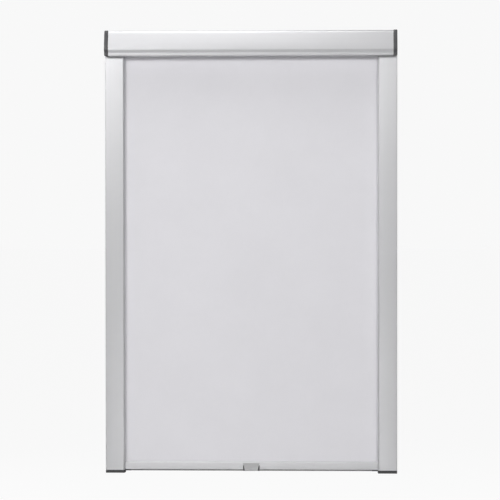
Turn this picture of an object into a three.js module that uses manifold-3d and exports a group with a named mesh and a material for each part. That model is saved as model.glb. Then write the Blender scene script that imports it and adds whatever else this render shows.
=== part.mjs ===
// Blackout roller blind for a roof window: an aluminium headbox with a spring roller, two side
// rails, a white blackout cloth and a bottom bar that runs in the rails. Millimetres, +Z up.
// The room side faces -Y. The origin is on the sash, at the headbox's back and near its middle.
import * as THREE from 'three';
import { mergeVertices } from 'three/addons/utils/BufferGeometryUtils.js';
import Module from 'manifold-3d';

const wasm = await Module();
wasm.setup();

// Overall
const BLIND_WIDTH = 613;
const BLIND_HEIGHT = 930;
const SEAT_GAP = 0.3; // between pieces that touch
const CUT_OVERRUN = 1; // how far a cutter runs past the face that it opens

// Headbox extrusions
const HEADBOX_TOP = 27; // above the origin
const HEADBOX_HEIGHT = 52.5;
const HEADBOX_DEPTH = 46;
const BACK_WALL = 2;
const COVER_WALL = 1.6;
const HOOK_DEPTH = 8; // how far the back rail's top flange comes forward
const HOOK_TONGUE_REACH = 4; // the cover's tongue under that flange
const TOP_DEPTH = 29; // where the flat top starts to turn down
const CORNER_RADIUS = 8;
const FACE_TILT = THREE.MathUtils.degToRad(20); // of the face, where it leaves the corner
const LIP_HEIGHT = 6.2; // the upright part below the chamfer
const FACE_BEND_SHARE = 0.85; // of the face's height, the furthest that its bend may reach down
const CHAMFER_DROP = 5.8;
const CHAMFER_SET_BACK = 4.5;
const LIP_RETURN = 18.5; // back from the lip, to just in front of the rails
const FIXING_HOLE_DIAMETER = 4.2;
const FIXING_HOLE_DROP = 14.2;
const FIXING_HOLE_END = 66.5;

// End caps and the screws that hold them
const CAP_PROUD = 1; // of the cover, but not at the lip
const CAP_THICKNESS = 8;
const CAP_BEVEL = 1;
const SPIGOT_WALL = 2;
const SPIGOT_REACH = 9;
const BOSS_RADIUS = 6.5;
const BLADE_THICKNESS = 3.6; // the blade that goes down into the side rail
const BLADE_LENGTH = 16;
const BLADE_WIDTH = 11;
const PORT_OUTER_RADIUS = 2.8; // the screw ports along the back rail
const PORT_BORE_RADIUS = 1.4;
const PORT_MOUTH = 1.6;
const PORT_DEPTH = 5.2;
const PORT_INSET = 7; // from the headbox's top and bottom
const SCREW_SHANK_RADIUS = 1.1;
const SCREW_HEAD_RADIUS = 2.7;
const SCREW_HEAD_HEIGHT = 1.8;
const SCREW_LENGTH = 20;
const SCREW_RECESS_WIDTH = 0.8;
const SCREW_RECESS_SPAN = 3;
const SCREW_RECESS_DEPTH = 1.1;
const HEAD_CLEARANCE = 0.4;

// Cloth
const FABRIC_THICKNESS = 0.5;
const FABRIC_TUCK = 9; // how far the cloth runs into each side rail
const FABRIC_DEPTH = 10; // from the sash to the middle of the cloth
const WRAP_PITCH = 1;
const REST_WRAPS = 1.75; // turns left on the tube when the blind is down

// Spring roller
const AXIS_HEIGHT = -2.75; // from the headbox's middle
const TUBE_RADIUS = 11;
const TUBE_WALL = 0.9;
const TUBE_OVERLENGTH = 1.5; // past each edge of the cloth
const GROOVE_WIDTH = 3.2;
const GROOVE_DEPTH = 2;
const SPLINE_THICKNESS = 1.3;
const PIN_RADIUS = 3;
const HEX_RADIUS = 3.8; // across the corners of the arbor's hexagon
const HEX_SIDES = 6;
const PIN_SOCKET_DEPTH = 12; // how deep the arbor and the pin sit in their bosses
const PLUG_LENGTH = 16;
const PLUG_FLANGE_RADIUS = 11;
const PLUG_FLANGE_THICKNESS = 1.6;
const SPRING_RADIUS = 5.6; // to the middle of the wire
const SPRING_WIRE_RADIUS = 0.7;
const SPRING_PITCH = 3.2;
const SPRING_TURNS = 32;
const COLLAR_RADIUS = 6.6;
const COLLAR_LENGTH = 9;
const STEADY_LENGTH = 10;

// Side rails
const RAIL_WIDTH = 40.5;
const RAIL_DEPTH = 22;
const RAIL_WALL = 1.5;
const CHANNEL_REACH = 23; // from the rail's inner edge in to the divider
const JOGGLE_DEPTH = 12; // where the clip-on cover starts on the outer side
const CLIP_DEPTH = 19;
const COVER_SKIN = 1.4;
const EDGE_CHAMFER_WIDTH = 3;
const EDGE_CHAMFER_DEPTH = 3.5;
const RAIL_HOLE_INSET = 9.6;
const RAIL_HOLE_END = 60;
const FOOT_HEIGHT = 6;
const FOOT_SPIGOT_HEIGHT = 14;
const FOOT_SPIGOT_DEPTH = 13;
const FOOT_POCKET = 2.3; // where the bar comes to rest

// Bottom bar, its seal and its grip
const BAR_THICKNESS = 8.4;
const BAR_HEIGHT = 20; // with the seal
const BAR_RUN_GAP = 0.8; // each side of the bar, in the rail's slot
const SEAL_HEIGHT = 3;
const FACE_TUCK = 0.8;
const FACE_TUCK_HEIGHT = 5;
const TOP_CHAMFER_DEPTH = 1.8;
const TOP_CHAMFER_HEIGHT = 3;
const HEM_SLOT = 1.3;
const HEM_CHAMBER_RADIUS = 2.5;
const HEM_ROD_RADIUS = 1.9;
const HEM_DROP = 5.4; // from the bar's top to the middle of the hem rod
const SEAL_MOUTH = 2.2;
const SEAL_GROOVE = 2.8;
const SEAL_NECK = 1.2;
const SEAL_BULB = 1.4;
const END_CHAMBER_WIDTH = 5.2;
const END_CHAMBER_HEIGHT = 4.2;
const END_CHAMBER_LIFT = 6.4;
const GRIP_WIDTH = 35;
const GRIP_FOOT_WIDTH = 26.5;
const GRIP_HEIGHT = 16.6;
const GRIP_REACH = 10.2; // how far the finger lip stands off the bar's face
const GRIP_LIP_THICKNESS = 1.4;
const GRIP_FOOT_LIFT = 1.6; // from the foot of the seal to the lip's underside
const GRIP_NOTCH_HEIGHT = 11.8;
const GRIP_NOTCH_DEPTH = 2.2;
const GRIP_INSERT_THICKNESS = 1.3;

// Runners at the bar's ends
const RUNNER_TONGUE = 18;
const RUNNER_LIP = 22;
const RUNNER_LIP_WIDTH = 6;
const SHOE_HEIGHT = 22;
const SHOE_RUN_GAP = 0.4;
const SHOE_SET_BACK = 1.8; // from the rail's divider
const POCKET_WIDTH = 8;
const POCKET_HEIGHT = 14;
const POCKET_DEPTH = 5;
const BRAKE_SPRING_THICKNESS = 0.4;
const BRAKE_SPRING_RISE = 2.1;

// How finely the round shapes are cut into flats
const CORNER_STEPS = 6;
const FACE_STEPS = 7;
const ROUND_SIDES = 32;
const SMALL_SIDES = 12;
const WRAP_STEPS = 36;
const SPRING_STEPS = 8;
const SPRING_SIDES = 5;
const MERGE_TOLERANCE = 1e-4;

// Sizes that follow from the ones above; heights are measured from the headbox's middle
const capTop = HEADBOX_HEIGHT / 2 + CAP_PROUD;
const capBottom = -HEADBOX_HEIGHT / 2;
const portHeight = HEADBOX_HEIGHT / 2 - PORT_INSET;
const coverEnd = BLIND_WIDTH / 2 - CAP_THICKNESS - SEAT_GAP;
const footBottom = capTop - BLIND_HEIGHT;
const footTop = footBottom + FOOT_HEIGHT;
const railBottom = footTop + SEAT_GAP;
const railTop = capBottom - SEAT_GAP;
const barBottom = footTop - FOOT_POCKET + SEAT_GAP;
const fabricWidth = BLIND_WIDTH - 2 * (RAIL_WIDTH - FABRIC_TUCK);
const slotBack = FABRIC_DEPTH - BAR_THICKNESS / 2 - BAR_RUN_GAP;
const slotFront = FABRIC_DEPTH + BAR_THICKNESS / 2 + BAR_RUN_GAP;
const dividerFace = RAIL_WIDTH - CHANNEL_REACH;
const wrapInnerRadius = TUBE_RADIUS + SEAT_GAP;
const wrapOuterRadius = wrapInnerRadius + REST_WRAPS * WRAP_PITCH + FABRIC_THICKNESS;
const axisDepth = FABRIC_DEPTH + wrapOuterRadius - FABRIC_THICKNESS / 2;
const tubeEnd = fabricWidth / 2 + TUBE_OVERLENGTH;
const tubeBore = TUBE_RADIUS - TUBE_WALL;
const bossFace = tubeEnd + PLUG_FLANGE_THICKNESS + 3 * SEAT_GAP;
const barEnd = fabricWidth / 2;
const hemHeight = BAR_HEIGHT - HEM_DROP;

// Materials
const aluminium = () => new THREE.MeshStandardMaterial({ color: 0xd3d3d5, roughness: 0.34, metalness: 0.85 });
const darkPlastic = () => new THREE.MeshStandardMaterial({ color: 0x47474a, roughness: 0.5, metalness: 0 });
const greyPlastic = () => new THREE.MeshStandardMaterial({ color: 0x9a9a9c, roughness: 0.45, metalness: 0 });
const whitePlastic = () => new THREE.MeshStandardMaterial({ color: 0xe8e6df, roughness: 0.5, metalness: 0 });
const steel = () => new THREE.MeshStandardMaterial({ color: 0xb4b4b8, roughness: 0.3, metalness: 1 });
const cloth = () => new THREE.MeshStandardMaterial({ color: 0xe4e3e8, roughness: 0.9, metalness: 0 });
const rubber = () => new THREE.MeshStandardMaterial({ color: 0x6e6e70, roughness: 0.8, metalness: 0 });
const felt = () => new THREE.MeshStandardMaterial({ color: 0x2f2f31, roughness: 1, metalness: 0 });

function mesh(name, geometry, material) {
  const made = new THREE.Mesh(geometry, material);
  made.name = name;
  return made;
}

// Outline helpers. An outline is a list of [across, up] points.
function arc(centre, radius, from, to, steps) {
  const points = [];
  for (let i = 0; i <= steps; i += 1) {
    const angle = from + ((to - from) * i) / steps;
    points.push([centre[0] + radius * Math.cos(angle), centre[1] + radius * Math.sin(angle)]);
  }
  return points;
}

function bend(start, control, end, steps) {
  const curve = new THREE.QuadraticBezierCurve(
    new THREE.Vector2(...start),
    new THREE.Vector2(...control),
    new THREE.Vector2(...end),
  );
  return curve.getPoints(steps).map((point) => [point.x, point.y]);
}

// The same line, moved by a distance to its right-hand side, with mitred corners.
function beside(points, distance) {
  const normals = points.slice(1).map((point, i) => {
    const run = [point[0] - points[i][0], point[1] - points[i][1]];
    const length = Math.hypot(...run);
    return [run[1] / length, -run[0] / length];
  });
  return points.map((point, i) => {
    const before = normals[Math.max(i - 1, 0)];
    const after = normals[Math.min(i, normals.length - 1)];
    const share = distance / (1 + before[0] * after[0] + before[1] * after[1]);
    return [point[0] + (before[0] + after[0]) * share, point[1] + (before[1] + after[1]) * share];
  });
}

const strip = (points, from, to) => [...beside(points, from), ...beside(points, to).reverse()];
const box = (left, bottom, right, top) => [[left, bottom], [right, bottom], [right, top], [left, top]];

function shapeOf(points, holes = []) {
  const vectors = points.map((point) => new THREE.Vector2(...point));
  if (THREE.ShapeUtils.isClockWise(vectors)) vectors.reverse();
  const shape = new THREE.Shape(vectors);
  for (const hole of holes) {
    shape.holes.push(new THREE.Path(hole.map((point) => new THREE.Vector2(...point))));
  }
  return shape;
}

// An outline of [depth, height] points, run along X from one place to another.
function alongX(points, from, to, holes = [], bevel = 0) {
  const turned = (outline) => outline.map(([depth, height]) => [-depth, height]);
  const geometry = new THREE.ExtrudeGeometry(shapeOf(turned(points), holes.map(turned)), {
    depth: to - from - 2 * bevel,
    bevelEnabled: bevel > 0,
    bevelThickness: bevel,
    bevelSize: bevel,
    bevelOffset: -bevel,
    bevelSegments: 2,
  });
  geometry.translate(0, 0, from + bevel);
  const axes = [new THREE.Vector3(0, 1, 0), new THREE.Vector3(0, 0, 1), new THREE.Vector3(1, 0, 0)];
  return geometry.applyMatrix4(new THREE.Matrix4().makeBasis(...axes));
}

// An outline of [inward, depth] points, run along Z. Inward is measured from the blind's side.
function alongZ(points, from, to) {
  const turned = points.map(([inward, depth]) => [-inward, -depth]);
  const geometry = new THREE.ExtrudeGeometry(shapeOf(turned), { depth: to - from, bevelEnabled: false });
  return geometry.translate(0, 0, from);
}

// A turned piece: an outline of [radius, place] points from axis to axis, spun about X.
function turnedOnX(points, sides) {
  const geometry = new THREE.LatheGeometry(points.map((point) => new THREE.Vector2(...point)), sides);
  return geometry.rotateZ(-Math.PI / 2);
}

const rod = (radius, from, to, sides) => turnedOnX([[0, from], [radius, from], [radius, to], [0, to]], sides);

// Boolean helpers
function solid(geometry) {
  const bare = geometry.index ? geometry.toNonIndexed() : geometry.clone();
  for (const name of Object.keys(bare.attributes)) if (name !== 'position') bare.deleteAttribute(name);
  const merged = mergeVertices(bare, MERGE_TOLERANCE);
  return new wasm.Manifold(new wasm.Mesh({
    numProp: 3,
    vertProperties: merged.attributes.position.array,
    triVerts: new Uint32Array(merged.index.array),
  }));
}

function geometryOf(manifold) {
  const data = manifold.getMesh();
  const geometry = new THREE.BufferGeometry();
  geometry.setAttribute('position', new THREE.BufferAttribute(data.vertProperties, 3));
  geometry.setIndex(new THREE.BufferAttribute(data.triVerts, 1));
  return geometry;
}

function combine(base, additions, cuts) {
  let made = solid(base);
  for (const piece of additions) made = made.add(solid(piece));
  for (const piece of cuts) made = made.subtract(solid(piece));
  return geometryOf(made);
}

// Headbox

// The outer line of the headbox, from the flat top, round the corner and the face, to the lip.
function headboxLine() {
  const top = HEADBOX_HEIGHT / 2;
  const centre = [TOP_DEPTH, top - CORNER_RADIUS];
  const corner = arc(centre, CORNER_RADIUS, Math.PI / 2, FACE_TILT, CORNER_STEPS);
  const start = corner.at(-1);
  const brow = [HEADBOX_DEPTH, LIP_HEIGHT + CHAMFER_DROP - top];
  const furthest = (start[1] - brow[1]) * FACE_BEND_SHARE;
  const run = Math.min((HEADBOX_DEPTH - start[0]) / Math.tan(FACE_TILT), furthest);
  const face = bend(start, [HEADBOX_DEPTH, start[1] - run], brow, FACE_STEPS);
  const lipDepth = HEADBOX_DEPTH - CHAMFER_SET_BACK;
  return [...corner, ...face.slice(1), [lipDepth, brow[1] - CHAMFER_DROP], [lipDepth, -top]];
}

function headboxBackRail() {
  const top = HEADBOX_HEIGHT / 2;
  const wall = [
    [0, -top], [BACK_WALL, -top], [BACK_WALL, top - COVER_WALL],
    [HOOK_DEPTH, top - COVER_WALL], [HOOK_DEPTH, top], [0, top],
  ];
  const ports = [];
  const cuts = [];
  for (const height of [-portHeight, portHeight]) {
    const web = box(BACK_WALL / 2, height - PORT_BORE_RADIUS, PORT_DEPTH, height + PORT_BORE_RADIUS);
    const barrel = rod(PORT_OUTER_RADIUS, -coverEnd, coverEnd, SMALL_SIDES);
    const bore = rod(PORT_BORE_RADIUS, -coverEnd - CUT_OVERRUN, coverEnd + CUT_OVERRUN, SMALL_SIDES);
    const mouthEnd = PORT_DEPTH + PORT_OUTER_RADIUS + CUT_OVERRUN;
    const mouth = box(PORT_DEPTH, height - PORT_MOUTH / 2, mouthEnd, height + PORT_MOUTH / 2);
    ports.push(alongX(web, -coverEnd, coverEnd), barrel.translate(0, -PORT_DEPTH, height));
    cuts.push(bore.translate(0, -PORT_DEPTH, height));
    cuts.push(alongX(mouth, -coverEnd - CUT_OVERRUN, coverEnd + CUT_OVERRUN));
  }
  const outerHole = BLIND_WIDTH / 2 - FIXING_HOLE_END;
  for (const place of [-outerHole, 0, outerHole]) {
    const reach = BACK_WALL + 2 * CUT_OVERRUN;
    const radius = FIXING_HOLE_DIAMETER / 2;
    const hole = new THREE.CylinderGeometry(radius, radius, reach, SMALL_SIDES);
    cuts.push(hole.translate(place, -BACK_WALL / 2, top - FIXING_HOLE_DROP));
  }
  return mesh('headbox_back_rail', combine(alongX(wall, -coverEnd, coverEnd), ports, cuts), aluminium());
}

function headboxFrontCover() {
  const top = HEADBOX_HEIGHT / 2;
  const line = [[HOOK_DEPTH + SEAT_GAP, top], ...headboxLine()];
  line.push([line.at(-1)[0] - LIP_RETURN, -top]);
  const tongueTop = top - COVER_WALL - SEAT_GAP;
  const tongueFront = HOOK_DEPTH + HOOK_TONGUE_REACH;
  const tongue = box(HOOK_TONGUE_REACH, tongueTop - COVER_WALL, tongueFront, tongueTop);
  const neck = box(HOOK_DEPTH + SEAT_GAP, tongueTop - COVER_WALL, tongueFront, top - COVER_WALL / 2);
  const additions = [tongue, neck].map((outline) => alongX(outline, -coverEnd, coverEnd));
  const shell = alongX(strip(line, 0, COVER_WALL), -coverEnd, coverEnd);
  return mesh('headbox_front_cover', combine(shell, additions, []), aluminium());
}

// The cap of the right-hand end; the left-hand one is its mirror image with a hexagon socket.
function endCap(name, socket) {
  const line = headboxLine();
  const outer = BLIND_WIDTH / 2;
  const face = outer - CAP_THICKNESS;
  const outline = [[0, capTop], ...beside(line, -CAP_PROUD), [0, capBottom]];
  outline[outline.length - 2][1] = capBottom;
  const plate = alongX(outline, face, outer, [], CAP_BEVEL);
  const inset = COVER_WALL + SEAT_GAP;
  const spigotLine = line.slice(0, -1);
  const spigot = alongX(strip(spigotLine, inset, inset + SPIGOT_WALL), face - SPIGOT_REACH, face + CAP_BEVEL);
  const boss = rod(BOSS_RADIUS, bossFace, face + CAP_BEVEL, SMALL_SIDES * 2);
  boss.translate(0, -axisDepth, AXIS_HEIGHT);
  const bladeStart = RAIL_WALL + 2 * SEAT_GAP;
  const blade = alongX(
    box(bladeStart, capBottom - BLADE_LENGTH, bladeStart + BLADE_WIDTH, capBottom + CAP_THICKNESS),
    face + CAP_BEVEL / 2,
    face + CAP_BEVEL / 2 + BLADE_THICKNESS,
  );
  const cuts = [socket.translate(0, -axisDepth, AXIS_HEIGHT)];
  for (const height of [-portHeight, portHeight]) {
    cuts.push(screwHole(face, outer).translate(0, -PORT_DEPTH, height));
  }
  return mesh(name, combine(plate, [spigot, boss, blade], cuts), darkPlastic());
}

// A clearance hole with a countersink for the cap's screws.
function screwHole(face, outer) {
  const shank = SCREW_SHANK_RADIUS + HEAD_CLEARANCE;
  const head = SCREW_HEAD_RADIUS + HEAD_CLEARANCE;
  return turnedOnX([
    [0, face - CUT_OVERRUN], [shank, face - CUT_OVERRUN], [shank, outer - SCREW_HEAD_HEIGHT - HEAD_CLEARANCE],
    [head, outer - HEAD_CLEARANCE], [head, outer + CUT_OVERRUN], [0, outer + CUT_OVERRUN],
  ], SMALL_SIDES);
}

function capScrew(name, height) {
  const outer = BLIND_WIDTH / 2 - HEAD_CLEARANCE;
  const body = turnedOnX([
    [0, outer - SCREW_LENGTH], [SCREW_SHANK_RADIUS, outer - SCREW_LENGTH + SCREW_SHANK_RADIUS],
    [SCREW_SHANK_RADIUS, outer - SCREW_HEAD_HEIGHT], [SCREW_HEAD_RADIUS, outer], [0, outer],
  ], SMALL_SIDES);
  const half = SCREW_RECESS_WIDTH / 2;
  const span = SCREW_RECESS_SPAN / 2;
  const recess = [box(-half, -span, half, span), box(-span, -half, span, half)];
  const cuts = recess.map((outline) => alongX(outline, outer - SCREW_RECESS_DEPTH, outer + CUT_OVERRUN));
  const made = mesh(name, combine(body, [], cuts), steel());
  made.position.set(0, -PORT_DEPTH, height);
  return made;
}

// Roller

const socketBottom = bossFace + PIN_SOCKET_DEPTH;

// The steel rod that stays still in the left-hand cap; the hexagon stops it from turning.
function springArbor(innerEnd) {
  const outerEnd = -socketBottom + SEAT_GAP;
  const shaft = rod(PIN_RADIUS, outerEnd + PIN_SOCKET_DEPTH / 2, innerEnd, SMALL_SIDES);
  const hexagon = rod(HEX_RADIUS, outerEnd, outerEnd + PIN_SOCKET_DEPTH - SEAT_GAP, HEX_SIDES);
  return mesh('spring_arbor', combine(shaft, [hexagon], []), steel());
}

function idlerPin() {
  const inner = tubeEnd - PLUG_LENGTH;
  return mesh('idler_pin', rod(PIN_RADIUS, inner, socketBottom - SEAT_GAP, SMALL_SIDES), steel());
}

// The groove in the tube, as a box at the tube's lowest line, between two radii.
function grooveBox(width, inner, outer, from, to) {
  return alongX(box(-width / 2, -outer, width / 2, -inner), from, to);
}

function rollerTube() {
  const wide = GROOVE_WIDTH + 2 * TUBE_WALL;
  const floor = TUBE_RADIUS - GROOVE_DEPTH;
  const bore = rod(tubeBore, -tubeEnd - CUT_OVERRUN, tubeEnd + CUT_OVERRUN, ROUND_SIDES);
  const pipe = geometryOf(solid(rod(TUBE_RADIUS, -tubeEnd, tubeEnd, ROUND_SIDES)).subtract(solid(bore)));
  const channel = grooveBox(wide, floor - TUBE_WALL, tubeBore + TUBE_WALL / 2, -tubeEnd, tubeEnd);
  const groove = grooveBox(
    GROOVE_WIDTH, floor, TUBE_RADIUS + CUT_OVERRUN, -tubeEnd - CUT_OVERRUN, tubeEnd + CUT_OVERRUN,
  );
  return mesh('roller_tube', combine(pipe, [channel], [groove]), aluminium());
}

// The strip that locks the cloth's top edge in the tube's groove.
function tubeSpline() {
  const floor = TUBE_RADIUS - GROOVE_DEPTH + SEAT_GAP;
  const half = fabricWidth / 2;
  const strap = grooveBox(GROOVE_WIDTH - 2 * SEAT_GAP, floor, floor + SPLINE_THICKNESS, -half, half);
  return mesh('tube_spline', strap, whitePlastic());
}

// A plug that sits in the tube, bored for the rod that it turns on. Its slot clears the groove.
function tubePlug(name, from, to, flange) {
  const radius = tubeBore - SEAT_GAP;
  const bore = PIN_RADIUS + SEAT_GAP;
  const flangeEnd = to + flange;
  const slotWidth = GROOVE_WIDTH + 2 * TUBE_WALL + 2 * SEAT_GAP;
  const slotFloor = TUBE_RADIUS - GROOVE_DEPTH - TUBE_WALL - SEAT_GAP;
  const additions = [];
  if (flange > 0) additions.push(rod(PLUG_FLANGE_RADIUS, to + SEAT_GAP, flangeEnd, ROUND_SIDES));
  const core = rod(radius, from, to + SEAT_GAP, ROUND_SIDES);
  const slot = grooveBox(slotWidth, slotFloor, TUBE_RADIUS, from - CUT_OVERRUN, to + SEAT_GAP);
  const cut = rod(bore, from - CUT_OVERRUN, flangeEnd + CUT_OVERRUN, SMALL_SIDES);
  const grooved = combine(core, [], [slot]);
  return mesh(name, combine(grooved, additions, [cut]), whitePlastic());
}

// A closed tube of a few sides along a line of points, for wire.
function wire(points, radius, sides) {
  const frames = points.map((point, i) => {
    const ahead = points[Math.min(i + 1, points.length - 1)];
    const behind = points[Math.max(i - 1, 0)];
    const along = ahead.clone().sub(behind).normalize();
    const outward = new THREE.Vector3(0, point.y, point.z).normalize();
    const side = along.clone().cross(outward).normalize();
    return [side, side.clone().cross(along).normalize()];
  });
  const positions = [];
  const faces = [];
  points.forEach((point, i) => {
    for (let k = 0; k < sides; k += 1) {
      const angle = (2 * Math.PI * k) / sides;
      const offset = frames[i][0].clone().multiplyScalar(radius * Math.cos(angle));
      offset.addScaledVector(frames[i][1], radius * Math.sin(angle));
      positions.push(...point.clone().add(offset).toArray());
    }
  });
  for (let i = 0; i + 1 < points.length; i += 1) {
    for (let k = 0; k < sides; k += 1) {
      const [a, b] = [i * sides + k, i * sides + ((k + 1) % sides)];
      faces.push(a, a + sides, b, b, a + sides, b + sides);
    }
  }
  const last = (points.length - 1) * sides;
  for (let k = 1; k + 1 < sides; k += 1) {
    faces.push(0, k, k + 1, last, last + k + 1, last + k);
  }
  const geometry = new THREE.BufferGeometry();
  geometry.setAttribute('position', new THREE.Float32BufferAttribute(positions, 3));
  geometry.setIndex(faces);
  return geometry;
}

// The least distance between turns of a line, counted from points at least a turn apart.
function leastGap(points, perTurn, thickness) {
  let least = Infinity;
  points.forEach((point, i) => {
    for (let k = i + Math.round(perTurn / 2); k < points.length; k += 1) {
      least = Math.min(least, point.distanceTo(points[k]));
    }
  });
  return least - thickness;
}

function torsionSpring(start) {
  const points = [];
  for (let i = 0; i <= SPRING_TURNS * SPRING_STEPS; i += 1) {
    const angle = (2 * Math.PI * i) / SPRING_STEPS;
    const place = start + (SPRING_PITCH * i) / SPRING_STEPS;
    points.push(new THREE.Vector3(place, SPRING_RADIUS * Math.cos(angle), SPRING_RADIUS * Math.sin(angle)));
  }
  const gap = leastGap(points, SPRING_STEPS, 2 * SPRING_WIRE_RADIUS);
  console.log('torsion_spring least gap', gap.toFixed(2), 'mm');
  return mesh('torsion_spring', wire(points, SPRING_WIRE_RADIUS, SPRING_SIDES), steel());
}

// The collar that holds the spring's far end on the still arbor.
function springCollar(from) {
  const to = from + COLLAR_LENGTH;
  const bore = rod(PIN_RADIUS + SEAT_GAP, from - CUT_OVERRUN, to + CUT_OVERRUN, SMALL_SIDES);
  const collar = rod(COLLAR_RADIUS, from, to, SMALL_SIDES * 2);
  return mesh('spring_collar', combine(collar, [], [bore]), greyPlastic());
}

// The turns of cloth that stay on the tube: one spiral that leaves the tube at its back.
function fabricRoll() {
  const steps = REST_WRAPS * WRAP_STEPS;
  const inner = [];
  const outer = [];
  for (let i = 0; i <= steps; i += 1) {
    const angle = (2 * Math.PI * i) / WRAP_STEPS;
    const radius = wrapOuterRadius - (WRAP_PITCH * i) / WRAP_STEPS;
    const ray = [-Math.cos(angle), Math.sin(angle)];
    outer.push([ray[0] * radius, ray[1] * radius]);
    inner.push([ray[0] * (radius - FABRIC_THICKNESS), ray[1] * (radius - FABRIC_THICKNESS)]);
  }
  const line = outer.map(([depth, height]) => new THREE.Vector3(0, depth, height));
  console.log('fabric_roll least gap', leastGap(line, WRAP_STEPS, FABRIC_THICKNESS).toFixed(2), 'mm');
  const spiral = [...outer, ...inner.reverse()];
  return mesh('fabric_roll', alongX(spiral, -fabricWidth / 2, fabricWidth / 2), cloth());
}

function roller() {
  const group = new THREE.Group();
  const crownInner = -tubeEnd + PLUG_LENGTH;
  const springStart = crownInner + SEAT_GAP + SPRING_WIRE_RADIUS;
  const collarStart = springStart + SPRING_TURNS * SPRING_PITCH + SPRING_WIRE_RADIUS + SEAT_GAP;
  const steadyStart = collarStart + COLLAR_LENGTH + SEAT_GAP;
  const steadyEnd = steadyStart + STEADY_LENGTH;
  const crown = tubePlug('tube_crown', tubeEnd - PLUG_LENGTH, tubeEnd, PLUG_FLANGE_THICKNESS + SEAT_GAP);
  crown.scale.x = -1;
  group.add(rollerTube(), tubeSpline(), fabricRoll(), crown, torsionSpring(springStart));
  group.add(springArbor(steadyEnd + CUT_OVERRUN), springCollar(collarStart));
  group.add(tubePlug('arbor_steady', steadyStart, steadyEnd, 0), idlerPin());
  group.add(tubePlug('idler_plug', tubeEnd - PLUG_LENGTH, tubeEnd, PLUG_FLANGE_THICKNESS + SEAT_GAP));
  group.position.set(0, -axisDepth, AXIS_HEIGHT);
  return group;
}

// The hanging cloth, from the back of the roll down into the bottom bar's slot.
function fabricSheet() {
  const bottom = barBottom + hemHeight + HEM_ROD_RADIUS + SEAT_GAP;
  const half = FABRIC_THICKNESS / 2;
  const outline = box(FABRIC_DEPTH - half, bottom, FABRIC_DEPTH + half, AXIS_HEIGHT - SEAT_GAP);
  return mesh('fabric_sheet', alongX(outline, -fabricWidth / 2, fabricWidth / 2), cloth());
}

// Side rails

// Everything here is drawn for the right-hand side, and the left-hand side is its mirror image.
function sideRail(side) {
  const w = RAIL_WIDTH;
  const t = RAIL_WALL;
  const shoulder = COVER_SKIN + SEAT_GAP;
  const base = alongZ([
    [0, 0], [w, 0], [w, slotBack], [w - t, slotBack], [w - t, t], [dividerFace, t],
    [dividerFace, slotFront], [w, slotFront], [w, slotFront + t], [dividerFace, slotFront + t],
    [dividerFace, CLIP_DEPTH], [dividerFace - t, CLIP_DEPTH], [dividerFace - t, t], [t, t],
    [t, JOGGLE_DEPTH - t], [shoulder + t, JOGGLE_DEPTH - t], [shoulder + t, CLIP_DEPTH],
    [shoulder, CLIP_DEPTH], [shoulder, JOGGLE_DEPTH], [0, JOGGLE_DEPTH],
  ], railBottom, railTop);
  const cuts = [];
  for (const height of [railBottom + RAIL_HOLE_END, (railBottom + railTop) / 2, railTop - RAIL_HOLE_END]) {
    const radius = FIXING_HOLE_DIAMETER / 2;
    const hole = new THREE.CylinderGeometry(radius, radius, t + 2 * CUT_OVERRUN, SMALL_SIDES);
    cuts.push(hole.translate(-RAIL_HOLE_INSET, -t / 2, height));
  }
  return mesh(`side_rail_${side}`, combine(base, [], cuts), aluminium());
}

function railCover(side) {
  const w = RAIL_WIDTH;
  const s = COVER_SKIN;
  const front = RAIL_DEPTH;
  const legEnd = slotFront + RAIL_WALL + SEAT_GAP;
  const sideEnd = JOGGLE_DEPTH + SEAT_GAP;
  const leg = dividerFace + SEAT_GAP;
  const chamferFoot = front - EDGE_CHAMFER_DEPTH;
  return mesh(`rail_cover_${side}`, alongZ([
    [0, sideEnd], [0, front], [w - EDGE_CHAMFER_WIDTH, front], [w, chamferFoot], [w, legEnd],
    [w - s, legEnd], [w - s, chamferFoot - s / 2], [w - EDGE_CHAMFER_WIDTH - s / 2, front - s],
    [leg + s, front - s], [leg + s, legEnd], [leg, legEnd], [leg, front - s], [s, front - s], [s, sideEnd],
  ], railBottom, railTop), aluminium());
}

function footCap(side) {
  const w = RAIL_WIDTH;
  const plate = alongZ([
    [0, 0], [w, 0], [w, RAIL_DEPTH - EDGE_CHAMFER_DEPTH],
    [w - EDGE_CHAMFER_WIDTH, RAIL_DEPTH], [0, RAIL_DEPTH],
  ], footBottom, footTop);
  const left = COVER_SKIN + RAIL_WALL + 2 * SEAT_GAP;
  const right = dividerFace - RAIL_WALL - SEAT_GAP;
  const back = RAIL_WALL + SEAT_GAP;
  const spigot = alongZ(
    box(left, back, right, back + FOOT_SPIGOT_DEPTH), footTop - CUT_OVERRUN, footTop + FOOT_SPIGOT_HEIGHT,
  );
  const pocket = alongZ(
    box(dividerFace, RAIL_WALL, w + CUT_OVERRUN, slotFront), footTop - FOOT_POCKET, footTop + CUT_OVERRUN,
  );
  return mesh(`foot_cap_${side}`, combine(plate, [spigot], [pocket]), darkPlastic());
}

function sideAssembly(side) {
  const group = new THREE.Group();
  group.add(sideRail(side), railCover(side), footCap(side));
  group.position.x = side === 'left' ? -BLIND_WIDTH / 2 : BLIND_WIDTH / 2;
  group.scale.x = side === 'left' ? -1 : 1;
  return group;
}

// Bottom bar. Depths here are measured forward from the cloth, heights from the bar's lowest line.

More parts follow.
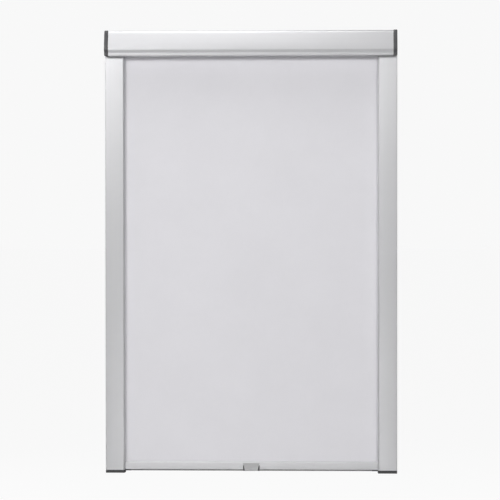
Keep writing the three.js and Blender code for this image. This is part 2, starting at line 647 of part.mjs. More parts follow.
function barProfile() {
  const half = BAR_THICKNESS / 2;
  const slot = HEM_SLOT / 2;
  const mouth = SEAL_MOUTH / 2;
  const groove = SEAL_GROOVE / 2;
  const neckTop = SEAL_HEIGHT + SEAL_NECK;
  const grooveTop = neckTop + SEAL_BULB;
  const turn = Math.acos(slot / HEM_CHAMBER_RADIUS);
  const chamber = arc([0, hemHeight], HEM_CHAMBER_RADIUS, turn, -Math.PI - turn, SMALL_SIDES);
  const outline = [
    [-half, SEAL_HEIGHT], [-mouth, SEAL_HEIGHT], [-mouth, neckTop], [-groove, neckTop],
    [-groove, grooveTop], [groove, grooveTop], [groove, neckTop], [mouth, neckTop], [mouth, SEAL_HEIGHT],
    [half - FACE_TUCK, SEAL_HEIGHT], [half, SEAL_HEIGHT + FACE_TUCK_HEIGHT],
    [half, BAR_HEIGHT - TOP_CHAMFER_HEIGHT], [half - TOP_CHAMFER_DEPTH, BAR_HEIGHT],
    [slot, BAR_HEIGHT], ...chamber, [-slot, BAR_HEIGHT], [-half, BAR_HEIGHT],
  ];
  const tube = box(
    -END_CHAMBER_WIDTH / 2, END_CHAMBER_LIFT, END_CHAMBER_WIDTH / 2, END_CHAMBER_LIFT + END_CHAMBER_HEIGHT,
  );
  const bar = alongX(outline, -barEnd, barEnd, [tube]);
  const notch = alongX(
    box(half - GRIP_NOTCH_DEPTH, -CUT_OVERRUN, half + CUT_OVERRUN, GRIP_NOTCH_HEIGHT),
    -GRIP_WIDTH / 2, GRIP_WIDTH / 2,
  );
  return mesh('bottom_bar_profile', combine(bar, [], [notch]), aluminium());
}

function hemRod() {
  const made = mesh('hem_rod', rod(HEM_ROD_RADIUS, -barEnd, barEnd, SMALL_SIDES), whitePlastic());
  made.position.z = hemHeight;
  return made;
}

function bottomSeal() {
  const blade = SEAL_MOUTH / 2 - SEAT_GAP;
  const bulb = SEAL_GROOVE / 2 - SEAT_GAP;
  const neckTop = SEAL_HEIGHT + SEAL_NECK + SEAT_GAP;
  const bulbTop = SEAL_HEIGHT + SEAL_NECK + SEAL_BULB - SEAT_GAP;
  const end = barEnd - RUNNER_LIP - SEAT_GAP;
  return mesh('bottom_seal', alongX([
    [-blade, 0], [blade, 0], [blade, neckTop], [bulb, neckTop], [bulb, bulbTop],
    [-bulb, bulbTop], [-bulb, neckTop], [-blade, neckTop],
  ], -end, end), rubber());
}

// The dark insert that fills the notch in the bar behind the finger lip.
function gripInsert() {
  const back = BAR_THICKNESS / 2 - GRIP_NOTCH_DEPTH + SEAT_GAP;
  const half = GRIP_WIDTH / 2 - SEAT_GAP;
  const outline = box(back, 0, back + GRIP_INSERT_THICKNESS, GRIP_NOTCH_HEIGHT - SEAT_GAP);
  return mesh('grip_insert', alongX(outline, -half, half), darkPlastic());
}

// The finger lip: a wedge that curves forward to its foot and narrows towards it.
function gripLip() {
  const face = BAR_THICKNESS / 2 + SEAT_GAP;
  const back = BAR_THICKNESS / 2 - GRIP_NOTCH_DEPTH + GRIP_INSERT_THICKNESS + 2 * SEAT_GAP;
  const reach = BAR_THICKNESS / 2 + GRIP_REACH;
  const foot = GRIP_FOOT_LIFT + GRIP_LIP_THICKNESS;
  const sweep = bend(
    [face + GRIP_LIP_THICKNESS, GRIP_HEIGHT],
    [face + GRIP_LIP_THICKNESS, foot + GRIP_LIP_THICKNESS],
    [reach, foot],
    FACE_STEPS,
  );
  const shelf = GRIP_NOTCH_HEIGHT - SEAT_GAP;
  const outline = [
    ...sweep, [reach, GRIP_FOOT_LIFT], [back, GRIP_FOOT_LIFT], [back, shelf], [face, shelf],
    [face, GRIP_HEIGHT],
  ];
  const body = alongX(outline, -GRIP_WIDTH / 2, GRIP_WIDTH / 2);
  const cuts = [-1, 1].map((side) => {
    const top = (side * GRIP_WIDTH) / 2;
    const heel = (side * GRIP_FOOT_WIDTH) / 2;
    const outside = (side * GRIP_WIDTH) / 2 + side * CUT_OVERRUN;
    const wedge = shapeOf([
      [top, GRIP_HEIGHT], [heel, GRIP_FOOT_LIFT], [heel, 0], [outside, 0], [outside, GRIP_HEIGHT],
    ]);
    const prism = new THREE.ExtrudeGeometry(wedge, { depth: 2 * reach, bevelEnabled: false });
    return prism.rotateX(Math.PI / 2);
  });
  return mesh('grip_lip', combine(body, [], cuts), greyPlastic());
}

const dividerPlace = BLIND_WIDTH / 2 - dividerFace;
const shoeOuter = dividerPlace - SHOE_SET_BACK;
const pocketMiddle = SHOE_HEIGHT / 2;

// The runner: a tongue inside the bar, a lip under its end and a shoe in the rail's channel.
function runner(side) {
  const shoeInner = barEnd + SEAT_GAP;
  const back = RAIL_WALL + SHOE_RUN_GAP - FABRIC_DEPTH;
  const front = slotFront - SHOE_RUN_GAP - FABRIC_DEPTH;
  const shoe = alongX(box(back, 0, front, SHOE_HEIGHT), shoeInner, shoeOuter);
  const tongueHalf = END_CHAMBER_WIDTH / 2 - SEAT_GAP;
  const tongueBottom = END_CHAMBER_LIFT + SEAT_GAP;
  const tongueTop = END_CHAMBER_LIFT + END_CHAMBER_HEIGHT - SEAT_GAP;
  const tongue = alongX(
    box(-tongueHalf, tongueBottom, tongueHalf, tongueTop), barEnd - RUNNER_TONGUE, shoeInner + CUT_OVERRUN,
  );
  const lip = alongX(
    box(-RUNNER_LIP_WIDTH / 2, 0, RUNNER_LIP_WIDTH / 2, SEAL_HEIGHT - SEAT_GAP),
    barEnd - RUNNER_LIP, shoeInner + CUT_OVERRUN,
  );
  const middle = (back + front) / 2;
  const pocket = alongX(box(
    middle - POCKET_WIDTH / 2, pocketMiddle - POCKET_HEIGHT / 2,
    middle + POCKET_WIDTH / 2, pocketMiddle + POCKET_HEIGHT / 2,
  ), shoeOuter - POCKET_DEPTH, shoeOuter + CUT_OVERRUN);
  return mesh(`bar_runner_${side}`, combine(shoe, [tongue, lip], [pocket]), darkPlastic());
}

const pocketFloor = shoeOuter - POCKET_DEPTH;
const shoeMiddle = (RAIL_WALL + slotFront) / 2 - FABRIC_DEPTH;

// A bowed leaf in the runner's pocket that presses the brake pad against the rail.
function brakeSpring(side) {
  const half = POCKET_HEIGHT / 2 - SEAT_GAP;
  const rise = BRAKE_SPRING_RISE;
  const foot = pocketFloor + SEAT_GAP;
  const bow = bend([foot, half], [foot + 2 * rise - BRAKE_SPRING_THICKNESS, 0], [foot, -half], FACE_STEPS);
  const leaf = new THREE.ExtrudeGeometry(shapeOf(strip(bow, 0, -BRAKE_SPRING_THICKNESS)), {
    depth: POCKET_WIDTH - 4 * SEAT_GAP,
    bevelEnabled: false,
  });
  leaf.translate(0, 0, -(POCKET_WIDTH / 2 - 2 * SEAT_GAP)).rotateX(Math.PI / 2);
  const made = mesh(`brake_spring_${side}`, leaf, steel());
  made.position.set(0, -shoeMiddle, pocketMiddle);
  return made;
}

function brakePad(side) {
  const halfWidth = POCKET_WIDTH / 2 - SEAT_GAP;
  const halfHeight = POCKET_HEIGHT / 2 - SEAT_GAP;
  const crest = pocketFloor + SEAT_GAP + BRAKE_SPRING_RISE + SEAT_GAP;
  const made = mesh(
    `brake_pad_${side}`,
    alongX(box(-halfWidth, -halfHeight, halfWidth, halfHeight), crest, dividerPlace - SEAT_GAP),
    felt(),
  );
  made.position.set(0, -shoeMiddle, pocketMiddle);
  return made;
}

function bottomBar() {
  const group = new THREE.Group();
  group.add(barProfile(), hemRod(), bottomSeal(), gripInsert(), gripLip());
  for (const side of ['left', 'right']) {
    const end = new THREE.Group();
    end.add(runner(side), brakeSpring(side), brakePad(side));
    end.scale.x = side === 'left' ? -1 : 1;
    group.add(end);
  }
  group.position.set(0, -FABRIC_DEPTH, barBottom);
  return group;
}

function headbox() {
  const group = new THREE.Group();
  const sockets = {
    left: rod(HEX_RADIUS + SEAT_GAP, bossFace - CUT_OVERRUN, socketBottom, HEX_SIDES),
    right: rod(PIN_RADIUS + SEAT_GAP, bossFace - CUT_OVERRUN, socketBottom, SMALL_SIDES),
  };
  group.add(headboxBackRail(), headboxFrontCover());
  for (const side of ['left', 'right']) {
    const end = new THREE.Group();
    end.add(endCap(`headbox_end_cap_${side}`, sockets[side]));
    end.add(capScrew(`end_cap_screw_${side}_upper`, portHeight));
    end.add(capScrew(`end_cap_screw_${side}_lower`, -portHeight));
    end.scale.x = side === 'left' ? -1 : 1;
    group.add(end);
  }
  return group;
}

const whole = new THREE.Group();
whole.add(headbox(), roller(), fabricSheet(), sideAssembly('left'), sideAssembly('right'), bottomBar());
whole.position.z = HEADBOX_TOP - HEADBOX_HEIGHT / 2;

const blind = new THREE.Group();
blind.add(whole);

export default blind;
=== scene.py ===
"""Finishes and fine shapes for a blackout roller blind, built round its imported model.

Metres, +Z up, the room side towards -Y. The origin is on the sash, at the headbox's back and
near its middle.
"""
import math

import bmesh
import bpy
from mathutils import Matrix, Vector


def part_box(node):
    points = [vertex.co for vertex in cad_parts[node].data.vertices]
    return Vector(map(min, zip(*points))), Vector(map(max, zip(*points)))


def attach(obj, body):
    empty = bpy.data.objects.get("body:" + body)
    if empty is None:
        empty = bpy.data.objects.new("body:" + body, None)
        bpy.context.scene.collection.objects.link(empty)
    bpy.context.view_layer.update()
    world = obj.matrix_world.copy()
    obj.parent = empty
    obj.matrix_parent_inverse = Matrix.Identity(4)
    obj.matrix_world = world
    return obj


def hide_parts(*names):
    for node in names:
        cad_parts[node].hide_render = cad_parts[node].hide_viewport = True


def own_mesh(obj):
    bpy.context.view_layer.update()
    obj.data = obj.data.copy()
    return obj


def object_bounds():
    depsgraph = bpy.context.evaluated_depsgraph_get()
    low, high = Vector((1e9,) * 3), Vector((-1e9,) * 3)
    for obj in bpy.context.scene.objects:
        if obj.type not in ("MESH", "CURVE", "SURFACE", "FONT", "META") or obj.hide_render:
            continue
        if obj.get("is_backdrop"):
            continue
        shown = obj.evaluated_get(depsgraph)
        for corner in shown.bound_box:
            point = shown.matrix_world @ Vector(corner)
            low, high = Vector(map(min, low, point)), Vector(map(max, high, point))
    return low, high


bl_info = {
    "name": "Blackout Roller Blind",
    "version": (1, 0, 0),
    "blender": (4, 5, 0),
    "location": "3D View > Sidebar > Blind",
    "description": "Fine shapes, finishes and a studio for a blackout roller blind",
    "category": "Object",
}

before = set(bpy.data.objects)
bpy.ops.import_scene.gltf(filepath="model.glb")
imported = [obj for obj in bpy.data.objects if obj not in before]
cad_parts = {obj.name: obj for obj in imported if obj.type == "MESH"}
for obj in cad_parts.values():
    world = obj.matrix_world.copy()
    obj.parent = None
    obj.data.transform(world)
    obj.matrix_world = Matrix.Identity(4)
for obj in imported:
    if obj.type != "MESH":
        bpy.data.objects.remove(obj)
cad_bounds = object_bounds()

MM = 0.001

# The sections of the extrusions, in millimetres. Depths are measured from the sash.
COVER_WALL = 1.6
HOOK_DEPTH = 8
HOOK_TONGUE_REACH = 4
SEAT_GAP = 0.3
TOP_DEPTH = 29
TOP_CORNER_RADIUS = 8
FACE_TILT = math.radians(20)
FACE_BEND_SHARE = 0.85
LIP_HEIGHT = 6.2
CHAMFER_DROP = 5.8
CHAMFER_SET_BACK = 4.5
LIP_RETURN = 18.5
RAIL_WALL = 1.5
CHANNEL_REACH = 23
JOGGLE_DEPTH = 12
CLIP_DEPTH = 19
COVER_SKIN = 1.4
EDGE_CHAMFER_WIDTH = 3
EDGE_CHAMFER_DEPTH = 3.5
SLOT_BACK = 5
SLOT_FRONT = 15
RAIL_HOLES = 3
RAIL_HOLE_RADIUS = 2.1
RAIL_HOLE_INSET = 9.6
RAIL_HOLE_END = 60
RAIL_DRILL_LENGTH = 6

# How the corners of the sections are broken, in millimetres
BROW_RADIUS = 1.4
LIP_RADIUS = 0.9
RAIL_FRONT_RADIUS = 1.3
RAIL_INNER_RADIUS = 0.8
WALL_RADIUS = 0.25
ARC_STEPS = 12
FACE_STEPS = 18
FILLET_STEPS = 4
HOLE_FACETS = 32
SHARP_ANGLE = math.radians(32)

# Screws, spring and wound cloth, in millimetres
SCREW_SIZES = {
    "Length": 20, "Shank radius": 1.1, "Head radius": 2.7, "Head height": 1.8,
    "Slot width": 0.8, "Slot span": 3, "Slot depth": 1.1,
}
SCREW_FACETS = 28
SCREW_PART_SHARE = 0.98  # of a screw's part, after which the next one starts inside it
SPRING_SIZES = {"Radius": 5.6, "Wire radius": 0.7, "Pitch": 3.2}
SPRING_TURNS = 32
SPRING_TURN_STEPS = 24
SPRING_SHARP_ANGLE = math.radians(60)
WIRE_FACETS = 10
WRAP_PITCH = 0.8
WRAP_TURN_STEPS = 64
ROLL_CLEARANCE = 0.05
REST_WRAPS = 1.75
CLOTH_THICKNESS = 0.5

# The hanging cloth
CLOTH_COLUMNS = 60
CLOTH_ROWS = 96
CLOTH_CALM = 0.16  # metres over which the ripple dies away towards the roller and the bar
RIPPLE_WAVES = ((0.5, 5.1, 0.6, 1.2), (0.3, 9.0, -2.3, 0), (0.4, 0.8, 2.2, 0))  # size, across, down, start
RIPPLE_SLACK_SHARE = 0.75

# The sheen of the metal is drawn out across its die lines, by this much of the most
SHEEN_DRAW = 0.6
METAL_ROUGHNESS = (0.49, 0.55)
METAL_SHARE = 0.92

# The finishes' textures. A noise texture keeps nearly all its values within the noise range.
NOISE_RANGE = (0.3, 0.7)
LINE_CHANGES = 3.0  # per metre along a die line
BROAD_LINE_SCALE = 0.09  # of the fine lines' scale
BROAD_LINE_SHARE = 0.4
PLASTIC_GRAIN = 0.5 * MM
STEEL_GRAIN = 1500.0  # per metre
STEEL_HAZE = (0.24, 0.42)
CLOUD_SCALE = 0.05  # of the grain's scale
SLUB_LENGTH_SCALE = 0.04  # of the scale across a slub
SLUB_SCALE = 0.7  # per thread
MOTTLE_SHARE = 0.45
# Painted shade: how dark the cloth's colour is made between its threads
PAINTED_VALLEY_SHADE = 0.965  # of the cloth between its threads

# How each kind of surface is worked: the swing of its tone and of its roughness, its soft patches to
# a metre, and the depth of its relief in millimetres with its strength
TONE_SWING = {"metal": 0.015, "plastic": 0.05, "steel": 0.08, "fibre": 0.15}
ROUGHNESS_SWING = {"plastic": 0.06, "cloth": 0.04, "fibre": 0.05}
PATCH_SCALE = {"metal": 22.0, "plastic": 90.0, "steel": 400.0, "cloth": 9.0}
RELIEF = {
    "metal": (0.01, 0.25), "plastic": (0.03, 0.4), "steel": (0.01, 0.3), "cloth": (0.06, 0.35),
    "fibre": (0.1, 0.5),
}

# The maps and the attributes that pieces carry, and the turn that lays a tree's Z along X
ACROSS_MAP = "Across"
CLOTH_MAP = "Cloth"
CORNER_RADIUS = "corner"
SCREW_SIDE = "side"
ALONG_X = (math.pi / 2, 0.0, math.pi / 2)

MERGE_DISTANCE = 1e-6
FLAT_ANGLE = math.radians(0.5)
END_FACE_SINE = 0.5  # of the angle between a face's normal and the die lines, under which it is an end


def mm(*values):
    """Millimetres as metres."""
    return [value * MM for value in values]


def in_metres(sizes):
    """A table of sizes in millimetres, in metres."""
    return {name: size * MM for name, size in sizes.items()}


def number_property(name, description, default, **more):
    """A number that a user may change; more gives its limits and what it measures."""
    return bpy.props.FloatProperty(name=name, description=description, default=default, **more)


def length_property(name, description, default, smallest=0):
    """A length, given here in millimetres and kept in metres."""
    return number_property(name, description, default * MM, min=smallest * MM, unit="LENGTH")


def angle_property(name, description, default):
    return number_property(name, description, default, subtype="ANGLE")


def colour_property(name, description, default):
    return bpy.props.FloatVectorProperty(
        name=name, description=description, default=default, min=0, max=1, size=3, subtype="COLOR",
    )


class BlindSizes(bpy.types.PropertyGroup):
    """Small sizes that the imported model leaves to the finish."""

    metal_edge: length_property("Metal edge", "Radius of the broken edges on cut metal", 0.2)
    moulded_edge: length_property("Moulded edge", "Radius of the edges on moulded plastic", 0.5)
    ripple: length_property("Cloth ripple", "Size of the slow waves in the hanging cloth", 0.28)
    thread_pitch: length_property("Thread pitch", "Distance between threads of the cloth", 0.6, 0.1)
    line_pitch: length_property(
        "Line pitch", "Distance between the fine lines along the aluminium", 0.35, 0.05,
    )


class BlindColours(bpy.types.PropertyGroup):
    """The main colour of each finish."""

    aluminium: colour_property("Aluminium", "Satin anodised extrusions", (0.72, 0.72, 0.734))
    # The bottom bar takes the aluminium made a little darker; the difference is painted shade
    bar_aluminium: colour_property("Bar aluminium", "Satin anodised bottom bar", (0.69, 0.69, 0.703))
    dark_plastic: colour_property("Dark plastic", "End caps, grip insert and runners", (0.09, 0.09, 0.094))
    # The foot caps take the dark plastic made darker still; the difference is painted shade
    foot_plastic: colour_property("Foot plastic", "Caps under the rails", (0.055, 0.055, 0.057))
    grey_plastic: colour_property("Grey plastic", "Finger lip and spring collar", (0.48, 0.48, 0.485))
    white_plastic: colour_property("White plastic", "Plugs, spline and hem rod", (0.80, 0.79, 0.75))
    steel: colour_property("Steel", "Screws, pins and springs", (0.56, 0.56, 0.57))
    cloth_room: colour_property("Cloth, room side", "White blackout weave", (0.88, 0.87, 0.907))
    cloth_window: colour_property("Cloth, window side", "Light grey coating", (0.62, 0.62, 0.64))
    rubber: colour_property("Rubber", "Seal under the bar", (0.25, 0.25, 0.25))
    felt: colour_property("Felt", "Brake pads", (0.03, 0.03, 0.032))
    floor: colour_property("Floor", "Plain pale floor", (0.64, 0.64, 0.64))


class BlindStudio(bpy.types.PropertyGroup):
    """The stage, its light and the camera."""

    floor_drop: length_property("Floor drop", "How far the floor lies below the blind", 300)
    floor_glow: number_property(
        "Floor glow", "Brightness that the floor keeps in every light", 0.93, min=0,
    )
    floor_shade: number_property(
        "Floor shade", "Share of the light and shadow on the floor that shows", 0.1, min=0, max=1,
    )
    backdrop: number_property("Backdrop", "Brightness of the backdrop that the camera sees", 0.94, min=0)
    surround: number_property("Surround", "Brightness of the studio round the blind", 0.065, min=0)
    light_share: number_property("Lights", "Share of their power that the soft lights give", 1, min=0)
    camera_place: bpy.props.FloatVectorProperty(
        name="Camera place", description="Where the camera stands",
        default=(0.1922, -5.0, -0.3353), size=3, subtype="TRANSLATION", unit="LENGTH",
    )
    camera_yaw: angle_property("Camera yaw", "Turn of the camera to its right", -0.0390)
    camera_pitch: angle_property("Camera pitch", "Tilt of the camera upwards", -0.0195)
    camera_roll: angle_property("Camera roll", "Turn of the camera about its view", -0.001)
    camera_lens: number_property("Camera lens", "Focal length in millimetres", 170.9, min=1)


# Node trees

class Nodes:
    """Adds nodes to a tree. An input that is given a socket becomes a link."""

    def __init__(self, tree):
        self.tree = tree

    def give(self, node, inputs):
        for key, value in inputs.items():
            if isinstance(value, bpy.types.NodeSocket):
                self.tree.links.new(value, node.inputs[key])
            else:
                node.inputs[key].default_value = value

    def add(self, kind, inputs=None, **settings):
        node = self.tree.nodes.new(kind)
        for name, value in settings.items():
            setattr(node, name, value)
        self.give(node, inputs or {})
        return node

    def out(self, kind, inputs=None, **settings):
        """The first output of a new node."""
        return self.add(kind, inputs, **settings).outputs[0]

    def gather(self, kind, key, shapes, **settings):
        """The first output of a new node that takes several shapes in one input."""
        node = self.add(kind, **settings)
        for shape in shapes:
            self.tree.links.new(shape, node.inputs[key])
        return node.outputs[0]

    def math(self, operation, first, second=0.0):
        return self.out("ShaderNodeMath", {0: first, 1: second}, operation=operation)

    # A mix node takes numbers in its inputs 2 and 3, and colours in 6 and 7
    def blend(self, first, second, share):
        """Two values mixed by a share of the second."""
        return self.out("ShaderNodeMix", {0: share, 2: first, 3: second}, data_type="FLOAT")

    def mix_colour(self, factor, first, second, blend="MIX"):
        values = {0: factor, 6: first, 7: second}
        return self.add("ShaderNodeMix", values, data_type="RGBA", blend_type=blend).outputs[2]

    def ramp(self, value, low, high, bottom=0.0, top=1.0):
        names = ["Value", "From Min", "From Max", "To Min", "To Max"]
        return self.out("ShaderNodeMapRange", dict(zip(names, [value, low, high, bottom, top])))


def new_group(name, kind, inputs, outputs):
    """A node group with its sockets; returns its nodes, the values given to it and its output node."""
    tree = bpy.data.node_groups.new(name, kind)
    for in_out, sockets in (("INPUT", inputs), ("OUTPUT", outputs)):
        for label, socket in sockets.items():
            tree.interface.new_socket(name=label, in_out=in_out, socket_type=f"NodeSocket{socket}")
    nodes = Nodes(tree)
    return nodes, nodes.add("NodeGroupInput").outputs, nodes.add("NodeGroupOutput")


TEXTURE = {"Height": "Float", "Tone": "Float"}


def drawn_lines_group():
    """The faint lines that a die leaves along an extrusion, with slow changes of tone."""
    nodes, of, result = new_group("Drawn lines", "ShaderNodeTree", {"Vector": "Vector"}, TEXTURE)
    fine = nodes.out("ShaderNodeTexNoise", {"Vector": of["Vector"], "Scale": 1.0, "Detail": 2.0})
    wider = {0: of["Vector"], 1: (BROAD_LINE_SCALE,) * 3}
    scaled = nodes.out("ShaderNodeVectorMath", wider, operation="MULTIPLY")
    broad = nodes.out("ShaderNodeTexNoise", {"Vector": scaled, "Scale": 1.0, "Detail": 3.0})
    nodes.give(result, {"Height": fine, "Tone": nodes.blend(fine, broad, BROAD_LINE_SHARE)})
    return nodes.tree


def moulded_grain_group():
    """The fine spark texture of a moulding tool."""
    inputs = {"Vector": "Vector", "Scale": "Float"}
    nodes, of, result = new_group("Moulded grain", "ShaderNodeTree", inputs, TEXTURE)
    cells = nodes.add(
        "ShaderNodeTexVoronoi", {"Vector": of["Vector"], "Scale": of["Scale"]}, feature="SMOOTH_F1",
    )
    slow = nodes.math("MULTIPLY", of["Scale"], CLOUD_SCALE)
    cloud = nodes.out("ShaderNodeTexNoise", {"Vector": of["Vector"], "Scale": slow, "Detail": 4.0})
    nodes.give(result, {"Height": cells.outputs["Distance"], "Tone": cloud})
    return nodes.tree


def handling_group():
    """Soft patches where hands and dust have dulled a surface."""
    inputs = {"Vector": "Vector", "Scale": "Float", "Low": "Float", "High": "Float"}
    nodes, of, result = new_group("Handling", "ShaderNodeTree", inputs, {"Mask": "Float"})
    spread = {"Vector": of["Vector"], "Scale": of["Scale"], "Detail": 5.0, "Roughness": 0.6}
    noise = nodes.out("ShaderNodeTexNoise", spread)
    nodes.give(result, {"Mask": nodes.ramp(noise, *NOISE_RANGE, of["Low"], of["High"])})
    return nodes.tree


def weave_group():
    """Plain weave: threads that pass over and under each other. The vector counts threads."""
    nodes, of, result = new_group("Plain weave", "ShaderNodeTree", {"Vector": "Vector"}, TEXTURE)
    parts = nodes.add("ShaderNodeSeparateXYZ", {0: of["Vector"]}).outputs
    turns = [nodes.math("MULTIPLY", parts[axis], math.pi) for axis in range(2)]
    waves = [nodes.math("SINE", turn) for turn in turns]
    crossing = nodes.math("MULTIPLY", *waves)
    rounds = [nodes.math("ABSOLUTE", wave) for wave in waves]
    warp = nodes.math("MULTIPLY", rounds[0], nodes.ramp(crossing, -1.0, 1.0))
    weft = nodes.math("MULTIPLY", rounds[1], nodes.ramp(crossing, 1.0, -1.0))
    height = nodes.math("MAXIMUM", warp, weft)
    drawn_out = {0: of["Vector"], 1: (1.0, SLUB_LENGTH_SCALE, 1.0)}
    stretched = nodes.out("ShaderNodeVectorMath", drawn_out, operation="MULTIPLY")
    slub = nodes.out("ShaderNodeTexNoise", {"Vector": stretched, "Scale": SLUB_SCALE, "Detail": 2.0})
    nodes.give(result, {"Height": height, "Tone": slub})
    return nodes.tree


GROUPS = {
    "Drawn lines": drawn_lines_group,
    "Moulded grain": moulded_grain_group,
    "Handling": handling_group,
    "Plain weave": weave_group,
}


def placed_group(nodes, name, inputs):
    """The outputs of a shared group, placed in a material with its own values."""
    tree = bpy.data.node_groups.get(name) or GROUPS[name]()
    return nodes.add("ShaderNodeGroup", inputs, node_tree=tree).outputs


def patches(nodes, place, scale, low, high):
    """A value that wanders between two others, in soft patches."""
    inputs = {"Vector": place, "Scale": scale, "Low": low, "High": high}
    return placed_group(nodes, "Handling", inputs)["Mask"]


# Finishes

def start_finish(name, **constants):
    """A material with a bare principled shader; constants are set on the shader's own sockets."""
    made = bpy.data.materials.new(name)
    made.use_nodes = True
    made.node_tree.nodes.clear()
    nodes = Nodes(made.node_tree)
    shader = nodes.add("ShaderNodeBsdfPrincipled", constants)
    nodes.add("ShaderNodeOutputMaterial", {"Surface": shader.outputs["BSDF"]})
    return made, nodes, shader


def toned(nodes, colour, tone, depth):
    """A colour that is lighter and darker than itself by a share, as a tone between 0 and 1 says."""
    darker = [*(part * (1 - depth) for part in colour), 1.0]
    lighter = [*(min(part * (1 + depth), 1.0) for part in colour), 1.0]
    return nodes.mix_colour(nodes.ramp(tone, *NOISE_RANGE), darker, lighter)


def end_finish(nodes, shader, kind, colour, roughness, height):
    """Feeds a shader its colour, its roughness and the relief of its kind of surface."""
    depth, strength = RELIEF[kind]
    bump = nodes.out("ShaderNodeBump", {"Height": height, "Distance": depth * MM, "Strength": strength})
    nodes.give(shader, {"Base Color": colour, "Roughness": roughness, "Normal": bump})


def swung(middle, kind):
    """The lowest and highest roughness of a kind of surface."""
    return middle - ROUGHNESS_SWING[kind], middle + ROUGHNESS_SWING[kind]


def object_coordinates(nodes, scale=(1.0, 1.0, 1.0)):
    """Places on the piece in metres, times a scale for each axis."""
    place = nodes.add("ShaderNodeTexCoord").outputs["Object"]
    return nodes.out("ShaderNodeMapping", {"Vector": place, "Scale": scale})


# The axis of the die lines, on the pieces that have a map across them
RUN_AXES = {"Aluminium along X": 0, "Aluminium along Z": 2, "Bar aluminium": 0}


def satin_aluminium(name, colour):
    """Satin anodised aluminium with die lines along one axis, which draw its sheen out across them."""
    mapped = name in RUN_AXES
    constants = {"Metallic": METAL_SHARE, "IOR": 1.45, "Anisotropic": SHEEN_DRAW * mapped}
    made, nodes, shader = start_finish(name, **constants)
    if mapped:
        tangent = nodes.out("ShaderNodeTangent", direction_type="UV_MAP", uv_map=ACROSS_MAP)
        nodes.give(shader, {"Tangent": tangent})
    scale = [1 / bpy.context.scene.blind_sizes.line_pitch] * 3
    scale[RUN_AXES.get(name, 0)] = LINE_CHANGES
    lines = placed_group(nodes, "Drawn lines", {"Vector": object_coordinates(nodes, scale)})
    hands = patches(nodes, object_coordinates(nodes), PATCH_SCALE["metal"], *METAL_ROUGHNESS)
    base = toned(nodes, colour, lines["Tone"], TONE_SWING["metal"])
    end_finish(nodes, shader, "metal", base, hands, lines["Height"])
    return made


def moulded_plastic(name, colour, roughness):
    """Moulded plastic with a fine grain and dulled patches."""
    made, nodes, shader = start_finish(name, IOR=1.49)
    place = object_coordinates(nodes)
    fine = placed_group(nodes, "Moulded grain", {"Vector": place, "Scale": 1 / PLASTIC_GRAIN})
    hands = patches(nodes, place, PATCH_SCALE["plastic"], *swung(roughness, "plastic"))
    base = toned(nodes, colour, fine["Tone"], TONE_SWING["plastic"])
    end_finish(nodes, shader, "plastic", base, hands, fine["Height"])
    return made


def bright_steel(name, colour):
    """Zinc-plated steel with a slight haze."""
    made, nodes, shader = start_finish(name, Metallic=1.0)
    place = object_coordinates(nodes)
    haze = patches(nodes, place, PATCH_SCALE["steel"], *STEEL_HAZE)
    cloud = placed_group(nodes, "Moulded grain", {"Vector": place, "Scale": STEEL_GRAIN})
    base = toned(nodes, colour, cloud["Tone"], TONE_SWING["steel"])
    end_finish(nodes, shader, "steel", base, haze, cloud["Height"])
    return made


def cloth_span():
    low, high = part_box("fabric_sheet")
    return high.x - low.x, high.z - low.z


def cloth_finish(name, colour, roughness, tone_swing):
    """Blackout cloth. Its weave follows the cloth's own map, which spans the whole panel."""
    made, nodes, shader = start_finish(name, **{"IOR": 1.4, "Sheen Weight": 0.08, "Sheen Roughness": 0.5})
    pitch, span = bpy.context.scene.blind_sizes.thread_pitch, cloth_span()
    own = nodes.out("ShaderNodeUVMap", uv_map=CLOTH_MAP)
    counts = (span[0] / pitch, span[1] / pitch, 1.0)
    threads = nodes.out("ShaderNodeMapping", {"Vector": own, "Scale": counts})
    place = nodes.out("ShaderNodeMapping", {"Vector": own, "Scale": (*span, 1.0)})
    weave = placed_group(nodes, "Plain weave", {"Vector": threads})
    mottle = patches(nodes, place, PATCH_SCALE["cloth"], 0.0, 1.0)
    # Painted shade: the cloth's colour is made a little darker in the weave's valleys, between its threads
    valley_shade = nodes.ramp(weave["Height"], 0.0, 1.0, PAINTED_VALLEY_SHADE, 1.0)
    base = toned(nodes, colour, nodes.blend(weave["Tone"], mottle, MOTTLE_SHARE), tone_swing)
    shade = nodes.out("ShaderNodeCombineColor", {channel: valley_shade for channel in range(3)})
    shaded = nodes.mix_colour(1.0, base, shade, "MULTIPLY")
    rough = nodes.ramp(weave["Tone"], *NOISE_RANGE, *swung(roughness, "cloth"))
    end_finish(nodes, shader, "cloth", shaded, rough, weave["Height"])
    return made


def fibrous_finish(name, colour, roughness, scale):
    """Felt or rubber: a dull surface with a random fine grain."""
    made, nodes, shader = start_finish(name, IOR=1.4)
    place = object_coordinates(nodes)
    grain = placed_group(nodes, "Moulded grain", {"Vector": place, "Scale": scale})
    hands = patches(nodes, place, scale * CLOUD_SCALE, *swung(roughness, "fibre"))
    base = toned(nodes, colour, grain["Tone"], TONE_SWING["fibre"])
    end_finish(nodes, shader, "fibre", base, hands, grain["Height"])
    return made


